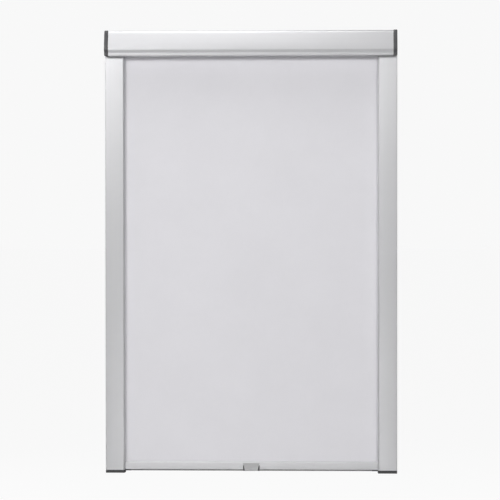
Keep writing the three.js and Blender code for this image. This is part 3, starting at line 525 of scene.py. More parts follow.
# What makes each finish, its main colour and its other values
FINISHES = {
    "Aluminium along X": (satin_aluminium, "aluminium", {}),
    "Aluminium along Z": (satin_aluminium, "aluminium", {}),
    # The bar's finish is a darker copy of the aluminium, as painted shade
    "Bar aluminium": (satin_aluminium, "bar_aluminium", {}),
    "Tube aluminium": (satin_aluminium, "aluminium", {}),
    "Dark plastic": (moulded_plastic, "dark_plastic", {"roughness": 0.48}),
    # The foot caps' finish is a darker copy of the dark plastic, as painted shade
    "Foot plastic": (moulded_plastic, "foot_plastic", {"roughness": 0.52}),
    "Grey plastic": (moulded_plastic, "grey_plastic", {"roughness": 0.42}),
    "White plastic": (moulded_plastic, "white_plastic", {"roughness": 0.5}),
    "Steel": (bright_steel, "steel", {}),
    "Cloth room side": (cloth_finish, "cloth_room", {"roughness": 0.8, "tone_swing": 0.012}),
    "Cloth window side": (cloth_finish, "cloth_window", {"roughness": 0.6, "tone_swing": 0.03}),
    "Seal rubber": (fibrous_finish, "rubber", {"roughness": 0.7, "scale": 1800.0}),
    "Brake felt": (fibrous_finish, "felt", {"roughness": 0.92, "scale": 2600.0}),
}


def finish(name):
    """The finish of that name, made when it is first asked for."""
    made = bpy.data.materials.get(name)
    if made is None:
        make, colour, values = FINISHES[name]
        made = make(name, getattr(bpy.context.scene.blind_colours, colour), **values)
    return made


def dress_nodes(name, nodes):
    """Gives CAD nodes whose shape is right a finish."""
    for node in nodes:
        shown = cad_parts[node]
        for slot in shown.material_slots:
            slot.link = "DATA"
            slot.material = finish(name)
        if not shown.material_slots:
            raise ValueError(f"{node} has no material slot")


# Pieces

def settle(piece, body, nodes):
    """Puts a finished piece on its body, in place of the CAD nodes that it stands for."""
    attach(piece, body)
    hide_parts(*nodes)
    return piece


def map_across(mesh, axis):
    """A map whose first direction runs across the die lines on every face."""
    along = Vector([float(k == axis) for k in range(3)])
    own = mesh.uv_layers.new(name=ACROSS_MAP)
    for face in mesh.polygons:
        across = along.cross(face.normal)
        if across.length < END_FACE_SINE:
            across = along.orthogonal()
        across.normalize()
        for loop in face.loop_indices:
            place = mesh.vertices[mesh.loops[loop].vertex_index].co
            own.data[loop].uv = (place.dot(across), place.dot(along))


def linked(name, mesh):
    piece = bpy.data.objects.new(name, mesh)
    bpy.context.scene.collection.objects.link(piece)
    return piece


def softened(node, name, finish_name, radius, steps=2):
    """A copy of a CAD node with its loose triangles joined, flat faces cleaned and edges broken."""
    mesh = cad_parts[node].data.copy()
    shape = bmesh.new()
    shape.from_mesh(mesh)
    bmesh.ops.remove_doubles(shape, verts=shape.verts, dist=MERGE_DISTANCE)
    bmesh.ops.dissolve_limit(shape, angle_limit=FLAT_ANGLE, verts=shape.verts, edges=shape.edges)
    for face in shape.faces:
        face.smooth = True
    shape.to_mesh(mesh)
    shape.free()
    mesh.set_sharp_from_angle(angle=SHARP_ANGLE)
    mesh.materials.clear()
    mesh.materials.append(finish(finish_name))
    if finish_name in RUN_AXES:
        map_across(mesh, RUN_AXES[finish_name])
    piece = linked(name, mesh)
    bevel = piece.modifiers.new("Broken edges", "BEVEL")
    bevel.width = radius
    bevel.segments = steps
    bevel.limit_method = "ANGLE"
    bevel.angle_limit = SHARP_ANGLE
    bevel.use_clamp_overlap = True
    bevel.harden_normals = True
    bevel.miter_outer = "MITER_ARC"
    return piece


def refine(node, name, finish_name, radius, body, steps=2):
    """Puts a softened copy of a CAD node in its place."""
    settle(softened(node, name, finish_name, radius, steps), body, [node])


def grown(name, tree, values, mesh=None):
    """Runs a geometry tree once and keeps what it makes as a plain mesh."""
    piece = linked(name, mesh or bpy.data.meshes.new(name))
    modifier = piece.modifiers.new("Shape", "NODES")
    modifier.node_group = tree
    for item in tree.interface.items_tree:
        if item.item_type == "SOCKET" and item.in_out == "INPUT" and item.name in values:
            modifier[item.identifier] = values[item.name]
    shown = bpy.context.evaluated_depsgraph_get()
    made = bpy.data.meshes.new_from_object(
        piece.evaluated_get(shown), preserve_all_data_layers=True, depsgraph=shown,
    )
    piece.modifiers.clear()
    piece.data = made
    made.name = name
    if not made.polygons:
        raise RuntimeError(f"{name} came out empty")
    return piece


# Outlines are lists of (across, up, corner radius) in millimetres

def arc(centre, radius, start, end, steps):
    turns = [start + (end - start) * i / steps for i in range(steps + 1)]
    return [(centre[0] + radius * math.cos(a), centre[1] + radius * math.sin(a)) for a in turns]


def bend(start, control, end, steps):
    """Points on a curve that leaves its start and reaches its end in line with the control point."""
    points = []
    for i in range(steps + 1):
        t = i / steps
        weights = ((1 - t) ** 2, 2 * t * (1 - t), t * t)
        pulls = list(zip(weights, (start, control, end)))
        points.append(tuple(sum(weight * point[k] for weight, point in pulls) for k in range(2)))
    return points


def beside(points, distance):
    """The same line, moved to its right-hand side, with mitred corners."""
    normals = []
    for (x0, y0), (x1, y1) in zip(points, points[1:]):
        run = math.hypot(x1 - x0, y1 - y0)
        normals.append(((y1 - y0) / run, (x0 - x1) / run))
    moved = []
    for i, (x, y) in enumerate(points):
        before, after = normals[max(i - 1, 0)], normals[min(i, len(normals) - 1)]
        share = distance / (1 + before[0] * after[0] + before[1] * after[1])
        moved.append((x + (before[0] + after[0]) * share, y + (before[1] + after[1]) * share))
    return moved


def outline_mesh(name, points):
    """A closed loop of edges in the XY plane; each point carries the radius of its corner."""
    count = len(points)
    mesh = bpy.data.meshes.new(name)
    edges = [(i, (i + 1) % count) for i in range(count)]
    mesh.from_pydata([(*mm(x, y), 0.0) for x, y, _ in points], edges, [])
    corner = mesh.attributes.new(CORNER_RADIUS, "FLOAT", "POINT")
    corner.data.foreach_set("value", mm(*(radius for _, _, radius in points)))
    return mesh


def extrusion_tree():
    """Rounds an outline's corners, fills it, runs it to a length and drills a row of holes."""
    nodes, of, result = new_group("Extrusion", "GeometryNodeTree", {
        "Outline": "Geometry", "Length": "Float", "Turn": "Rotation", "Place": "Vector",
        "Corner steps": "Int", "Sharp angle": "Float", "Holes": "Int", "Hole radius": "Float",
        "Hole depth": "Float", "First hole": "Vector", "Hole step": "Vector", "Finish": "Material",
    }, {"Solid": "Geometry"})
    curve = nodes.out("GeometryNodeMeshToCurve", {"Mesh": of["Outline"]})
    radius = nodes.out("GeometryNodeInputNamedAttribute", {"Name": CORNER_RADIUS}, data_type="FLOAT")
    corners = {"Curve": curve, "Radius": radius, "Limit Radius": True, "Count": of["Corner steps"]}
    rounded = nodes.out("GeometryNodeFilletCurve", corners, mode="POLY")
    face = nodes.out("GeometryNodeFillCurve", {"Curve": rounded}, mode="TRIANGLES")
    run = nodes.out("ShaderNodeCombineXYZ", {2: of["Length"]})
    drawn = {"Mesh": face, "Offset": run, "Offset Scale": 1.0, "Individual": False}
    walls = nodes.out("GeometryNodeExtrudeMesh", drawn, mode="FACES")
    start = nodes.out("GeometryNodeFlipFaces", {"Mesh": face})
    joined = nodes.gather("GeometryNodeJoinGeometry", 0, (walls, start))
    closed = nodes.out("GeometryNodeMergeByDistance", {"Geometry": joined, "Distance": MERGE_DISTANCE})
    move = {"Geometry": closed, "Rotation": of["Turn"], "Translation": of["Place"]}
    placed = nodes.out("GeometryNodeTransform", move)
    places = {"Count": of["Holes"], "Start Location": of["First hole"], "Offset": of["Hole step"]}
    row = nodes.out("GeometryNodeMeshLine", places, mode="OFFSET")
    sizes = {"Vertices": HOLE_FACETS, "Radius": of["Hole radius"], "Depth": of["Hole depth"]}
    drill = nodes.out("GeometryNodeMeshCylinder", sizes)
    across = nodes.out("FunctionNodeEulerToRotation", {0: (math.pi / 2, 0.0, 0.0)})
    drills = nodes.out(
        "GeometryNodeInstanceOnPoints", {"Points": row, "Instance": drill, "Rotation": across},
    )
    drills = nodes.out("GeometryNodeRealizeInstances", {"Geometry": drills})
    cut = {"Mesh 1": placed, "Mesh 2": drills}
    drilled = nodes.out("GeometryNodeMeshBoolean", cut, operation="DIFFERENCE", solver="EXACT")
    any_hole = nodes.math("GREATER_THAN", of["Holes"], 0.5)
    made = nodes.out("GeometryNodeSwitch", {0: any_hole, 1: placed, 2: drilled}, input_type="GEOMETRY")
    finish_smooth(nodes, made, of, result)
    return nodes.tree


def finish_smooth(nodes, shape, of, result):
    """The end of each tree: smooth faces, sharp edges past an angle, plain geometry and a finish."""
    smooth = nodes.out("GeometryNodeSetShadeSmooth", {0: shape, "Shade Smooth": True}, domain="FACE")
    fold = nodes.out("GeometryNodeInputMeshEdgeAngle")
    folded = nodes.math("GREATER_THAN", fold, of["Sharp angle"])
    edges = {0: smooth, "Selection": folded, "Shade Smooth": False}
    sharp = nodes.out("GeometryNodeSetShadeSmooth", edges, domain="EDGE")
    plain = nodes.out("GeometryNodeRealizeInstances", {"Geometry": sharp})
    painted = nodes.out("GeometryNodeSetMaterial", {"Geometry": plain, "Material": of["Finish"]})
    nodes.give(result, {0: painted})


def extruded(name, outline, finish_name, start, end, holes=None):
    """A piece of one section that runs along X or Z, as the die lines of its finish do."""
    tree = bpy.data.node_groups.get("Extrusion") or extrusion_tree()
    axis = RUN_AXES[finish_name]
    values = {
        "Length": end - start, "Turn": ALONG_X if axis == 0 else (0.0, 0.0, 0.0),
        "Place": tuple(start if k == axis else 0.0 for k in range(3)), "Corner steps": FILLET_STEPS,
        "Sharp angle": SHARP_ANGLE, "Holes": 0, "Finish": finish(finish_name), **(holes or {}),
    }
    piece = grown(name, tree, values, outline_mesh(name, outline))
    map_across(piece.data, axis)
    return piece


def headbox_line():
    """The outer line of the headbox, from the flat top, round the corner and the face, to the lip."""
    low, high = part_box("headbox_front_cover")
    top, bottom, depth = high.z / MM, low.z / MM, -low.y / MM
    corner = arc((TOP_DEPTH, top - TOP_CORNER_RADIUS), TOP_CORNER_RADIUS, math.pi / 2, FACE_TILT, ARC_STEPS)
    start = corner[-1]
    brow = (depth, bottom + LIP_HEIGHT + CHAMFER_DROP)
    run = min((depth - start[0]) / math.tan(FACE_TILT), (start[1] - brow[1]) * FACE_BEND_SHARE)
    face = bend(start, (depth, start[1] - run), brow, FACE_STEPS)
    lip = depth - CHAMFER_SET_BACK
    return [*corner, *face[1:], (lip, brow[1] - CHAMFER_DROP), (lip, bottom)]


def front_cover_outline():
    line = headbox_line()
    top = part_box("headbox_front_cover")[1].z / MM
    lip, bottom = line[-1]
    line = [(HOOK_DEPTH + SEAT_GAP, top), *line, (lip - LIP_RETURN, bottom)]
    tongue_front = HOOK_DEPTH + HOOK_TONGUE_REACH
    tongue_top = top - COVER_WALL - SEAT_GAP
    tongue = [
        (tongue_front, top - COVER_WALL), (tongue_front, tongue_top - COVER_WALL),
        (HOOK_TONGUE_REACH, tongue_top - COVER_WALL), (HOOK_TONGUE_REACH, tongue_top),
        (HOOK_DEPTH + SEAT_GAP, tongue_top),
    ]
    radii = [WALL_RADIUS] + [0.0] * (len(line) - 5) + [BROW_RADIUS, LIP_RADIUS, LIP_RADIUS, WALL_RADIUS]
    outer = [(x, y, r) for (x, y), r in zip(line, radii)]
    inner = [(x, y, r / 2) for (x, y), r in zip(beside(line, COVER_WALL), radii)]
    hook = [(x, y, WALL_RADIUS) for x, y in tongue]
    return [(-x, y, r) for x, y, r in outer + inner[:0:-1] + hook]


def side_outline(points, side):
    """Points drawn inwards from the blind's side, as an outline for the left or the right."""
    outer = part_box("foot_cap_right")[1].x / MM
    return [(side * (outer - inward), -depth, radius) for inward, depth, radius in points]


def rail_width():
    low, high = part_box("rail_cover_right")
    return (high.x - low.x) / MM


def rail_cover_outline(side):
    w, s, r = rail_width(), COVER_SKIN, WALL_RADIUS
    front = -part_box("rail_cover_right")[0].y / MM
    leg_end = SLOT_FRONT + RAIL_WALL + SEAT_GAP
    leg = w - CHANNEL_REACH + SEAT_GAP
    foot = front - EDGE_CHAMFER_DEPTH
    return side_outline([
        (0, JOGGLE_DEPTH + SEAT_GAP, r), (0, front, RAIL_FRONT_RADIUS),
        (w - EDGE_CHAMFER_WIDTH, front, RAIL_INNER_RADIUS), (w, foot, RAIL_INNER_RADIUS), (w, leg_end, r),
        (w - s, leg_end, r), (w - s, foot - s / 2, r), (w - EDGE_CHAMFER_WIDTH - s / 2, front - s, r),
        (leg + s, front - s, r), (leg + s, leg_end, r), (leg, leg_end, r), (leg, front - s, r),
        (s, front - s, r), (s, JOGGLE_DEPTH + SEAT_GAP, r),
    ], side)


def side_rail_outline(side):
    w, t, r = rail_width(), RAIL_WALL, WALL_RADIUS
    divider = w - CHANNEL_REACH
    shoulder = COVER_SKIN + SEAT_GAP
    points = [
        (0, 0), (w, 0), (w, SLOT_BACK), (w - t, SLOT_BACK), (w - t, t), (divider, t),
        (divider, SLOT_FRONT), (w, SLOT_FRONT), (w, SLOT_FRONT + t), (divider, SLOT_FRONT + t),
        (divider, CLIP_DEPTH), (divider - t, CLIP_DEPTH), (divider - t, t), (t, t),
        (t, JOGGLE_DEPTH - t), (shoulder + t, JOGGLE_DEPTH - t), (shoulder + t, CLIP_DEPTH),
        (shoulder, CLIP_DEPTH), (shoulder, JOGGLE_DEPTH), (0, JOGGLE_DEPTH),
    ]
    return side_outline([(x, y, r) for x, y in points], side)


def rail_holes(side):
    low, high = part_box("side_rail_right")
    first, last = low.z + RAIL_HOLE_END * MM, high.z - RAIL_HOLE_END * MM
    return {
        "Holes": RAIL_HOLES, "Hole radius": RAIL_HOLE_RADIUS * MM, "Hole depth": RAIL_DRILL_LENGTH * MM,
        "First hole": (side * (high.x - RAIL_HOLE_INSET * MM), 0.0, first),
        "Hole step": (0.0, 0.0, (last - first) / (RAIL_HOLES - 1)),
    }


SIDES = {"left": -1, "right": 1}


class BLIND_OT_headbox(bpy.types.Operator):
    """Makes the headbox's front cover and its back rail"""

    bl_idname = "blind.headbox"
    bl_label = "Headbox"

    def execute(self, context):
        low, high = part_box("headbox_front_cover")
        cover = extruded("front_cover", front_cover_outline(), "Aluminium along X", low.x, high.x)
        settle(cover, "frame", ["headbox_front_cover"])
        edge = context.scene.blind_sizes.metal_edge
        refine("headbox_back_rail", "back_rail", "Aluminium along X", edge, "frame")
        return {"FINISHED"}


class BLIND_OT_end_caps(bpy.types.Operator):
    """Makes the moulded caps at the headbox's ends"""

    bl_idname = "blind.end_caps"
    bl_label = "End caps"

    def execute(self, context):
        edge = context.scene.blind_sizes.moulded_edge
        for side in SIDES:
            node = f"headbox_end_cap_{side}"
            refine(node, f"end_cap_{side}", "Dark plastic", edge, "frame", 3)
        return {"FINISHED"}


def screw_tree():
    """Countersunk screws with a cross slot, one on each point, turned to face their side."""
    nodes, of, result = new_group("Cap screws", "GeometryNodeTree", {
        "Points": "Geometry", **{name: "Float" for name in SCREW_SIZES},
        "Sharp angle": "Float", "Finish": "Material",
    }, {"Screws": "Geometry"})
    shank_length = nodes.math("SUBTRACT", of["Length"], of["Head height"])
    point_length = of["Shank radius"]

    def turned(top, bottom, depth, height):
        """A cone frustum whose upper end is at a height."""
        sizes = {"Vertices": SCREW_FACETS, "Radius Top": top, "Radius Bottom": bottom, "Depth": depth}
        cone = nodes.out("GeometryNodeMeshCone", sizes)
        place = nodes.out("ShaderNodeCombineXYZ", {2: nodes.math("SUBTRACT", height, depth)})
        return nodes.out("GeometryNodeTransform", {"Geometry": cone, "Translation": place})

    head = turned(of["Head radius"], of["Shank radius"], of["Head height"], 0.0)
    below = nodes.math("MULTIPLY", of["Head height"], -SCREW_PART_SHARE)
    straight = nodes.math("SUBTRACT", shank_length, point_length)
    shank = turned(of["Shank radius"], of["Shank radius"], straight, below)
    tip_top = nodes.math("SUBTRACT", below, nodes.math("MULTIPLY", straight, SCREW_PART_SHARE))
    tip = turned(of["Shank radius"], 0.0, point_length, tip_top)
    union = {"operation": "UNION", "solver": "EXACT"}
    body = nodes.gather("GeometryNodeMeshBoolean", "Mesh 2", (head, shank, tip), **union)
    twice = nodes.math("MULTIPLY", of["Slot depth"], 2.0)
    bars = []
    for first, second in (("Slot width", "Slot span"), ("Slot span", "Slot width")):
        size = nodes.out("ShaderNodeCombineXYZ", {0: of[first], 1: of[second], 2: twice})
        bars.append(nodes.out("GeometryNodeMeshCube", {"Size": size}))
    cross = nodes.gather("GeometryNodeMeshBoolean", "Mesh 2", bars, **union)
    cut = {"Mesh 1": body, "Mesh 2": cross}
    screw = nodes.out("GeometryNodeMeshBoolean", cut, operation="DIFFERENCE", solver="EXACT")
    side = nodes.out("GeometryNodeInputNamedAttribute", {"Name": SCREW_SIDE}, data_type="FLOAT")
    angles = nodes.out("ShaderNodeCombineXYZ", {1: nodes.math("MULTIPLY", side, math.pi / 2)})
    turn = nodes.out("FunctionNodeEulerToRotation", {0: angles})
    places = {"Points": of["Points"], "Instance": screw, "Rotation": turn}
    row = nodes.out("GeometryNodeInstanceOnPoints", places)
    whole = nodes.out("GeometryNodeRealizeInstances", {"Geometry": row})
    finish_smooth(nodes, whole, of, result)
    return nodes.tree


class BLIND_OT_cap_screws(bpy.types.Operator):
    """Makes the four countersunk screws in the end caps"""

    bl_idname = "blind.cap_screws"
    bl_label = "Cap screws"

    def execute(self, context):
        names, places, sides = [], [], []
        for side, sign in SIDES.items():
            for level in ("upper", "lower"):
                names.append(f"end_cap_screw_{side}_{level}")
                low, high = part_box(names[-1])
                middle = (low + high) / 2
                places.append((high.x if sign > 0 else low.x, middle.y, middle.z))
                sides.append(sign)
        mesh = bpy.data.meshes.new("cap_screws")
        mesh.from_pydata(places, [], [])
        mesh.attributes.new(SCREW_SIDE, "FLOAT", "POINT").data.foreach_set("value", sides)
        values = {**in_metres(SCREW_SIZES), "Sharp angle": SHARP_ANGLE, "Finish": finish("Steel")}
        screws = grown("cap_screws", screw_tree(), values, mesh)
        settle(screws, "frame", names)
        return {"FINISHED"}


class BLIND_OT_side_rails(bpy.types.Operator):
    """Makes the side rails and the covers that clip on them"""

    bl_idname = "blind.side_rails"
    bl_label = "Side rails"

    def execute(self, context):
        low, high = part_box("side_rail_right")
        metal = "Aluminium along Z"
        for side, sign in SIDES.items():
            outline, holes = side_rail_outline(sign), rail_holes(sign)
            rail = extruded(f"rail_{side}", outline, metal, low.z, high.z, holes)
            settle(rail, "frame", [f"side_rail_{side}"])
            cover = extruded(f"cover_{side}", rail_cover_outline(sign), metal, low.z, high.z)
            settle(cover, "frame", [f"rail_cover_{side}"])
        return {"FINISHED"}


class BLIND_OT_foot_caps(bpy.types.Operator):
    """Makes the moulded caps under the side rails"""

    bl_idname = "blind.foot_caps"
    bl_label = "Foot caps"

    def execute(self, context):
        edge = context.scene.blind_sizes.moulded_edge
        for side in SIDES:
            node = f"foot_cap_{side}"
            refine(node, f"rail_foot_{side}", "Foot plastic", edge, "frame", 3)
        return {"FINISHED"}


def ripple(across, down, span, depth):
    """How far the cloth stands behind its plane, clear of the roller, for shares of its width and drop."""
    calm = min(down, 1 - down, CLOTH_CALM / span[1]) * span[1] / CLOTH_CALM
    fade = calm * calm * (3 - 2 * calm)
    slack = 1 - RIPPLE_SLACK_SHARE * math.cos(math.pi * across) ** 2
    waves = sum(
        size * (1 + math.sin(math.pi * (wide * across + tall * down) + start))
        for size, wide, tall, start in RIPPLE_WAVES
    )
    return depth * fade * slack * waves


def cloth_panel(name, low, high, depth):
    """The hanging cloth: a room side and a window side, joined all round, with its own map."""
    span = (high.x - low.x, high.z - low.z)
    shape = bmesh.new()
    own = shape.loops.layers.uv.new(CLOTH_MAP)
    layers = []
    for y in (low.y, high.y):
        rows = []
        for j in range(CLOTH_ROWS + 1):
            down = j / CLOTH_ROWS
            row = []
            for i in range(CLOTH_COLUMNS + 1):
                across = i / CLOTH_COLUMNS
                off = ripple(across, down, span, depth)
                row.append(shape.verts.new((low.x + across * span[0], y + off, high.z - down * span[1])))
            rows.append(row)
        layers.append(rows)
    room, window = layers
    for j in range(CLOTH_ROWS):
        for i in range(CLOTH_COLUMNS):
            front = (room[j][i], room[j + 1][i], room[j + 1][i + 1], room[j][i + 1])
            back = (window[j][i], window[j][i + 1], window[j + 1][i + 1], window[j + 1][i])
            shape.faces.new(front).material_index = 0
            shape.faces.new(back).material_index = 1

    def rim(rows):
        return [
            *rows[0], *(row[-1] for row in rows[1:]), *rows[-1][-2::-1], *(row[0] for row in rows[-2:0:-1]),
        ]

    outer, inner = rim(room), rim(window)
    count = len(outer)
    for k in range(count):
        after = (k + 1) % count
        shape.faces.new((outer[k], outer[after], inner[after], inner[k])).material_index = 0
    for face in shape.faces:
        face.smooth = True
        for loop in face.loops:
            place = loop.vert.co
            loop[own].uv = ((place.x - low.x) / span[0], (place.z - low.z) / span[1])
    mesh = bpy.data.meshes.new(name)
    shape.to_mesh(mesh)
    shape.free()
    mesh.set_sharp_from_angle(angle=SHARP_ANGLE)
    return linked(name, mesh)


def roll_tree():
    """Cloth wound in a spiral about X, its outer end at the back, with its own map."""
    nodes, of, result = new_group("Wound cloth", "GeometryNodeTree", {
        "Base": "Geometry", "Outer radius": "Float", "Pitch": "Float", "Turns": "Float", "Steps": "Int",
        "Thickness": "Float", "Width": "Float", "Drop": "Float", "Place": "Vector",
        "Sharp angle": "Float", "Finish": "Material",
    }, {"Roll": "Geometry"})
    half = nodes.math("MULTIPLY", of["Thickness"], 0.5)
    outer = nodes.math("SUBTRACT", of["Outer radius"], half)
    inner = nodes.math("SUBTRACT", outer, nodes.math("MULTIPLY", of["Turns"], of["Pitch"]))
    spiral = nodes.out("GeometryNodeCurveSpiral", {
        "Resolution": of["Steps"], "Rotations": of["Turns"], "Start Radius": outer, "End Radius": inner,
        "Height": 0.0, "Reverse": True,
    })
    level = nodes.out("GeometryNodeSetCurveNormal", {"Curve": spiral}, mode="Z_UP")
    length = nodes.add("GeometryNodeSplineParameter").outputs["Length"]
    kept = nodes.add("GeometryNodeCaptureAttribute", {"Geometry": level})
    kept.capture_items.new("FLOAT", "Length")
    nodes.give(kept, {"Length": length})
    edge = {"Width": of["Thickness"], "Height": of["Width"]}
    section = nodes.out("GeometryNodeCurvePrimitiveQuadrilateral", edge)
    swept = {"Curve": kept.outputs["Geometry"], "Profile Curve": section, "Fill Caps": True}
    band = nodes.out("GeometryNodeCurveToMesh", swept)
    parts = nodes.add("ShaderNodeSeparateXYZ", {0: nodes.out("GeometryNodeInputPosition")}).outputs
    across = nodes.math("ADD", nodes.math("DIVIDE", parts[2], of["Width"]), 0.5)
    down = nodes.math("DIVIDE", kept.outputs["Length"], of["Drop"])
    on_map = nodes.out("ShaderNodeCombineXYZ", {0: across, 1: down})
    stored = {"Geometry": band, "Name": CLOTH_MAP, "Value": on_map}
    mapped = nodes.out(
        "GeometryNodeStoreNamedAttribute", stored, data_type="FLOAT2", domain="CORNER",
    )
    move = {"Geometry": mapped, "Rotation": ALONG_X, "Translation": of["Place"]}
    finish_smooth(nodes, nodes.out("GeometryNodeTransform", move), of, result)
    return nodes.tree


def roller_axis():
    """A point on the axis that the roller turns on."""
    low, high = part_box("roller_tube")
    return (low + high) / 2


class BLIND_OT_cloth(bpy.types.Operator):
    """Makes the hanging cloth and the turns of it that stay on the roller"""

    bl_idname = "blind.cloth"
    bl_label = "Cloth"

    def execute(self, context):
        low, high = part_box("fabric_sheet")
        span = cloth_span()
        panel = cloth_panel("hanging_cloth", low, high, context.scene.blind_sizes.ripple)
        panel.data.materials.append(finish("Cloth room side"))
        panel.data.materials.append(finish("Cloth window side"))
        settle(panel, "frame", ["fabric_sheet"])
        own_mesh(panel)
        panel_front = low.y
        low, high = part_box("fabric_roll")
        axis = roller_axis()
        thickness = CLOTH_THICKNESS * MM
        outer = panel_front - axis.y - ROLL_CLEARANCE * MM
        values = {
            "Outer radius": outer, "Pitch": WRAP_PITCH * MM, "Turns": REST_WRAPS, "Steps": WRAP_TURN_STEPS,
            "Thickness": thickness, "Width": high.x - low.x, "Drop": span[1],
            "Place": (0.0, axis.y, axis.z), "Sharp angle": SHARP_ANGLE, "Finish": finish("Cloth room side"),
        }
        roll = grown("wound_cloth", roll_tree(), values)
        settle(roll, "roller", ["fabric_roll"])
        return {"FINISHED"}


def spring_tree():
    """A close helix of round wire about X."""
    nodes, of, result = new_group("Helical spring", "GeometryNodeTree", {
        "Base": "Geometry", **{name: "Float" for name in SPRING_SIZES}, "Turns": "Float",
        "Steps": "Int", "Place": "Vector", "Sharp angle": "Float", "Finish": "Material",
    }, {"Spring": "Geometry"})
    helix = nodes.out("GeometryNodeCurveSpiral", {
        "Resolution": of["Steps"], "Rotations": of["Turns"], "Start Radius": of["Radius"],
        "End Radius": of["Radius"], "Height": nodes.math("MULTIPLY", of["Turns"], of["Pitch"]),
    })
    edge = {"Resolution": WIRE_FACETS, "Radius": of["Wire radius"]}
    section = nodes.out("GeometryNodeCurvePrimitiveCircle", edge)
    swept = {"Curve": helix, "Profile Curve": section, "Fill Caps": True}
    wire = nodes.out("GeometryNodeCurveToMesh", swept)
    move = {"Geometry": wire, "Rotation": ALONG_X, "Translation": of["Place"]}
    finish_smooth(nodes, nodes.out("GeometryNodeTransform", move), of, result)
    return nodes.tree


class BLIND_OT_roller(bpy.types.Operator):
    """Dresses the spring roller and makes its spring"""

    bl_idname = "blind.roller"
    bl_label = "Spring roller"

    def execute(self, context):
        sizes = in_metres(SPRING_SIZES)
        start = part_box("torsion_spring")[0].x + sizes["Wire radius"]
        axis = roller_axis()
        values = {
            **sizes, "Turns": float(SPRING_TURNS), "Steps": SPRING_TURN_STEPS,
            "Place": (start, axis.y, axis.z), "Sharp angle": SPRING_SHARP_ANGLE, "Finish": finish("Steel"),
        }
        spring = grown("roller_spring", spring_tree(), values)
        settle(spring, "roller", ["torsion_spring"])
        dress_nodes("Tube aluminium", ["roller_tube"])
        dress_nodes("White plastic", ["tube_spline", "tube_crown", "idler_plug", "arbor_steady"])
        dress_nodes("Grey plastic", ["spring_collar"])
        dress_nodes("Steel", ["spring_arbor", "idler_pin"])
        return {"FINISHED"}


class BLIND_OT_bottom_bar(bpy.types.Operator):
    """Makes the bottom bar, its seal and the rod in its hem"""

    bl_idname = "blind.bottom_bar"
    bl_label = "Bottom bar"

    def execute(self, context):
        edge = context.scene.blind_sizes.metal_edge
        body = "bottom_bar"
        refine("bottom_bar_profile", "bar_profile", "Bar aluminium", edge, body)
        refine("bottom_seal", "bar_seal", "Seal rubber", edge, body)
        dress_nodes("White plastic", ["hem_rod"])
        return {"FINISHED"}


class BLIND_OT_grip(bpy.types.Operator):
    """Makes the finger lip and the insert behind it"""

    bl_idname = "blind.grip"
    bl_label = "Grip"

    def execute(self, context):
        edge = context.scene.blind_sizes.metal_edge
        body = "bottom_bar"
        # The insert's dark plastic is partly painted shade: it darkens the gaps beside the finger lip
        refine("grip_insert", "grip_back", "Dark plastic", edge, body)
        refine("grip_lip", "finger_lip", "Grey plastic", 2 * edge, body, 3)
        return {"FINISHED"}


class BLIND_OT_runners(bpy.types.Operator):
    """Makes the runners at the bar's ends and dresses their springs and pads"""

    bl_idname = "blind.runners"
    bl_label = "Runners"

    def execute(self, context):
        edge = context.scene.blind_sizes.metal_edge
        for side in SIDES:
            node = f"bar_runner_{side}"
            refine(node, f"runner_{side}", "Dark plastic", edge, "bottom_bar")
            dress_nodes("Steel", [f"brake_spring_{side}"])
            dress_nodes("Brake felt", [f"brake_pad_{side}"])
        return {"FINISHED"}


# Stage

FLOOR_REACH = 40
FLOOR_TONE = 0.004
SENSOR_WIDTH = 36.0
CAMERA_REACH = 200.0
BLACK = (0.0, 0.0, 0.0, 1.0)
WHITE = (1.0, 1.0, 1.0, 1.0)

# Each soft light: azimuth from the front and elevation in degrees, distance, size and watts.
# They stand round the blind's middle and face it. A row of them on one level works as a wide strip.
SOFT_LIGHTS = {
    "Strip far left": (-50, 14, 6.1, (1.0, 1.0), 6),
    "Strip left": (-25, 14, 6.1, (1.0, 1.0), 10),
    "Near far left": (-35, 20.4, 3.1, (0.5, 0.5), 9.5),
    "Near left": (-25, 20.4, 3.1, (0.5, 0.5), 12),
    "Near middle": (-15, 20.4, 3.1, (0.5, 0.5), 5.6),
    "Strip middle": (0, 17.8, 6.1, (1.0, 1.0), 6.5),
    "Strip right": (25, 17.8, 6.1, (1.0, 1.0), 65),
    "Overhead": (-38, 79.5, 2, (1.2, 0.5), 14),
    "Low front": (0, -15.5, 2.25, (1.2, 0.3), 5.0),
    "Side left": (-88, 26, 3, (1.0, 1.4), 20),
    "Behind left": (-140, 10, 3, (1.5, 1.5), 12),
    "Behind right": (140, 10, 3, (1.5, 1.5), 12),
}


def area_light(name, place, size, power):
    """A soft light, placed by its azimuth, elevation and distance from the blind's middle."""
    azimuth, elevation, distance = math.radians(place[0]), math.radians(place[1]), place[2]
    level = distance * math.cos(elevation)
    offset = Vector((math.sin(azimuth) * level, -math.cos(azimuth) * level, math.sin(elevation) * distance))
    lamp = bpy.data.lights.new(name, "AREA")
    lamp.shape = "RECTANGLE"
    lamp.size, lamp.size_y = size
    lamp.energy = power
    light = linked(name, lamp)
    light.location = sum(cad_bounds, Vector()) / 2 + offset
    light.rotation_euler = (-offset).to_track_quat("-Z", "Y").to_euler()
    light.visible_camera = False


def studio_world(studio):
    """A pale backdrop for the camera and a quieter surround that lights the blind."""
    world = bpy.data.worlds.new("Studio")
    world.use_nodes = True
    world.node_tree.nodes.clear()
    nodes = Nodes(world.node_tree)
    lit, seen = (
        nodes.out("ShaderNodeBackground", {"Color": WHITE, "Strength": strength})
        for strength in (studio.surround, studio.backdrop)
    )
    camera = nodes.add("ShaderNodeLightPath").outputs["Is Camera Ray"]
    mixed = nodes.out("ShaderNodeMixShader", {0: camera, 1: lit, 2: seen})
    nodes.add("ShaderNodeOutputWorld", {"Surface": mixed})
    bpy.context.scene.world = world


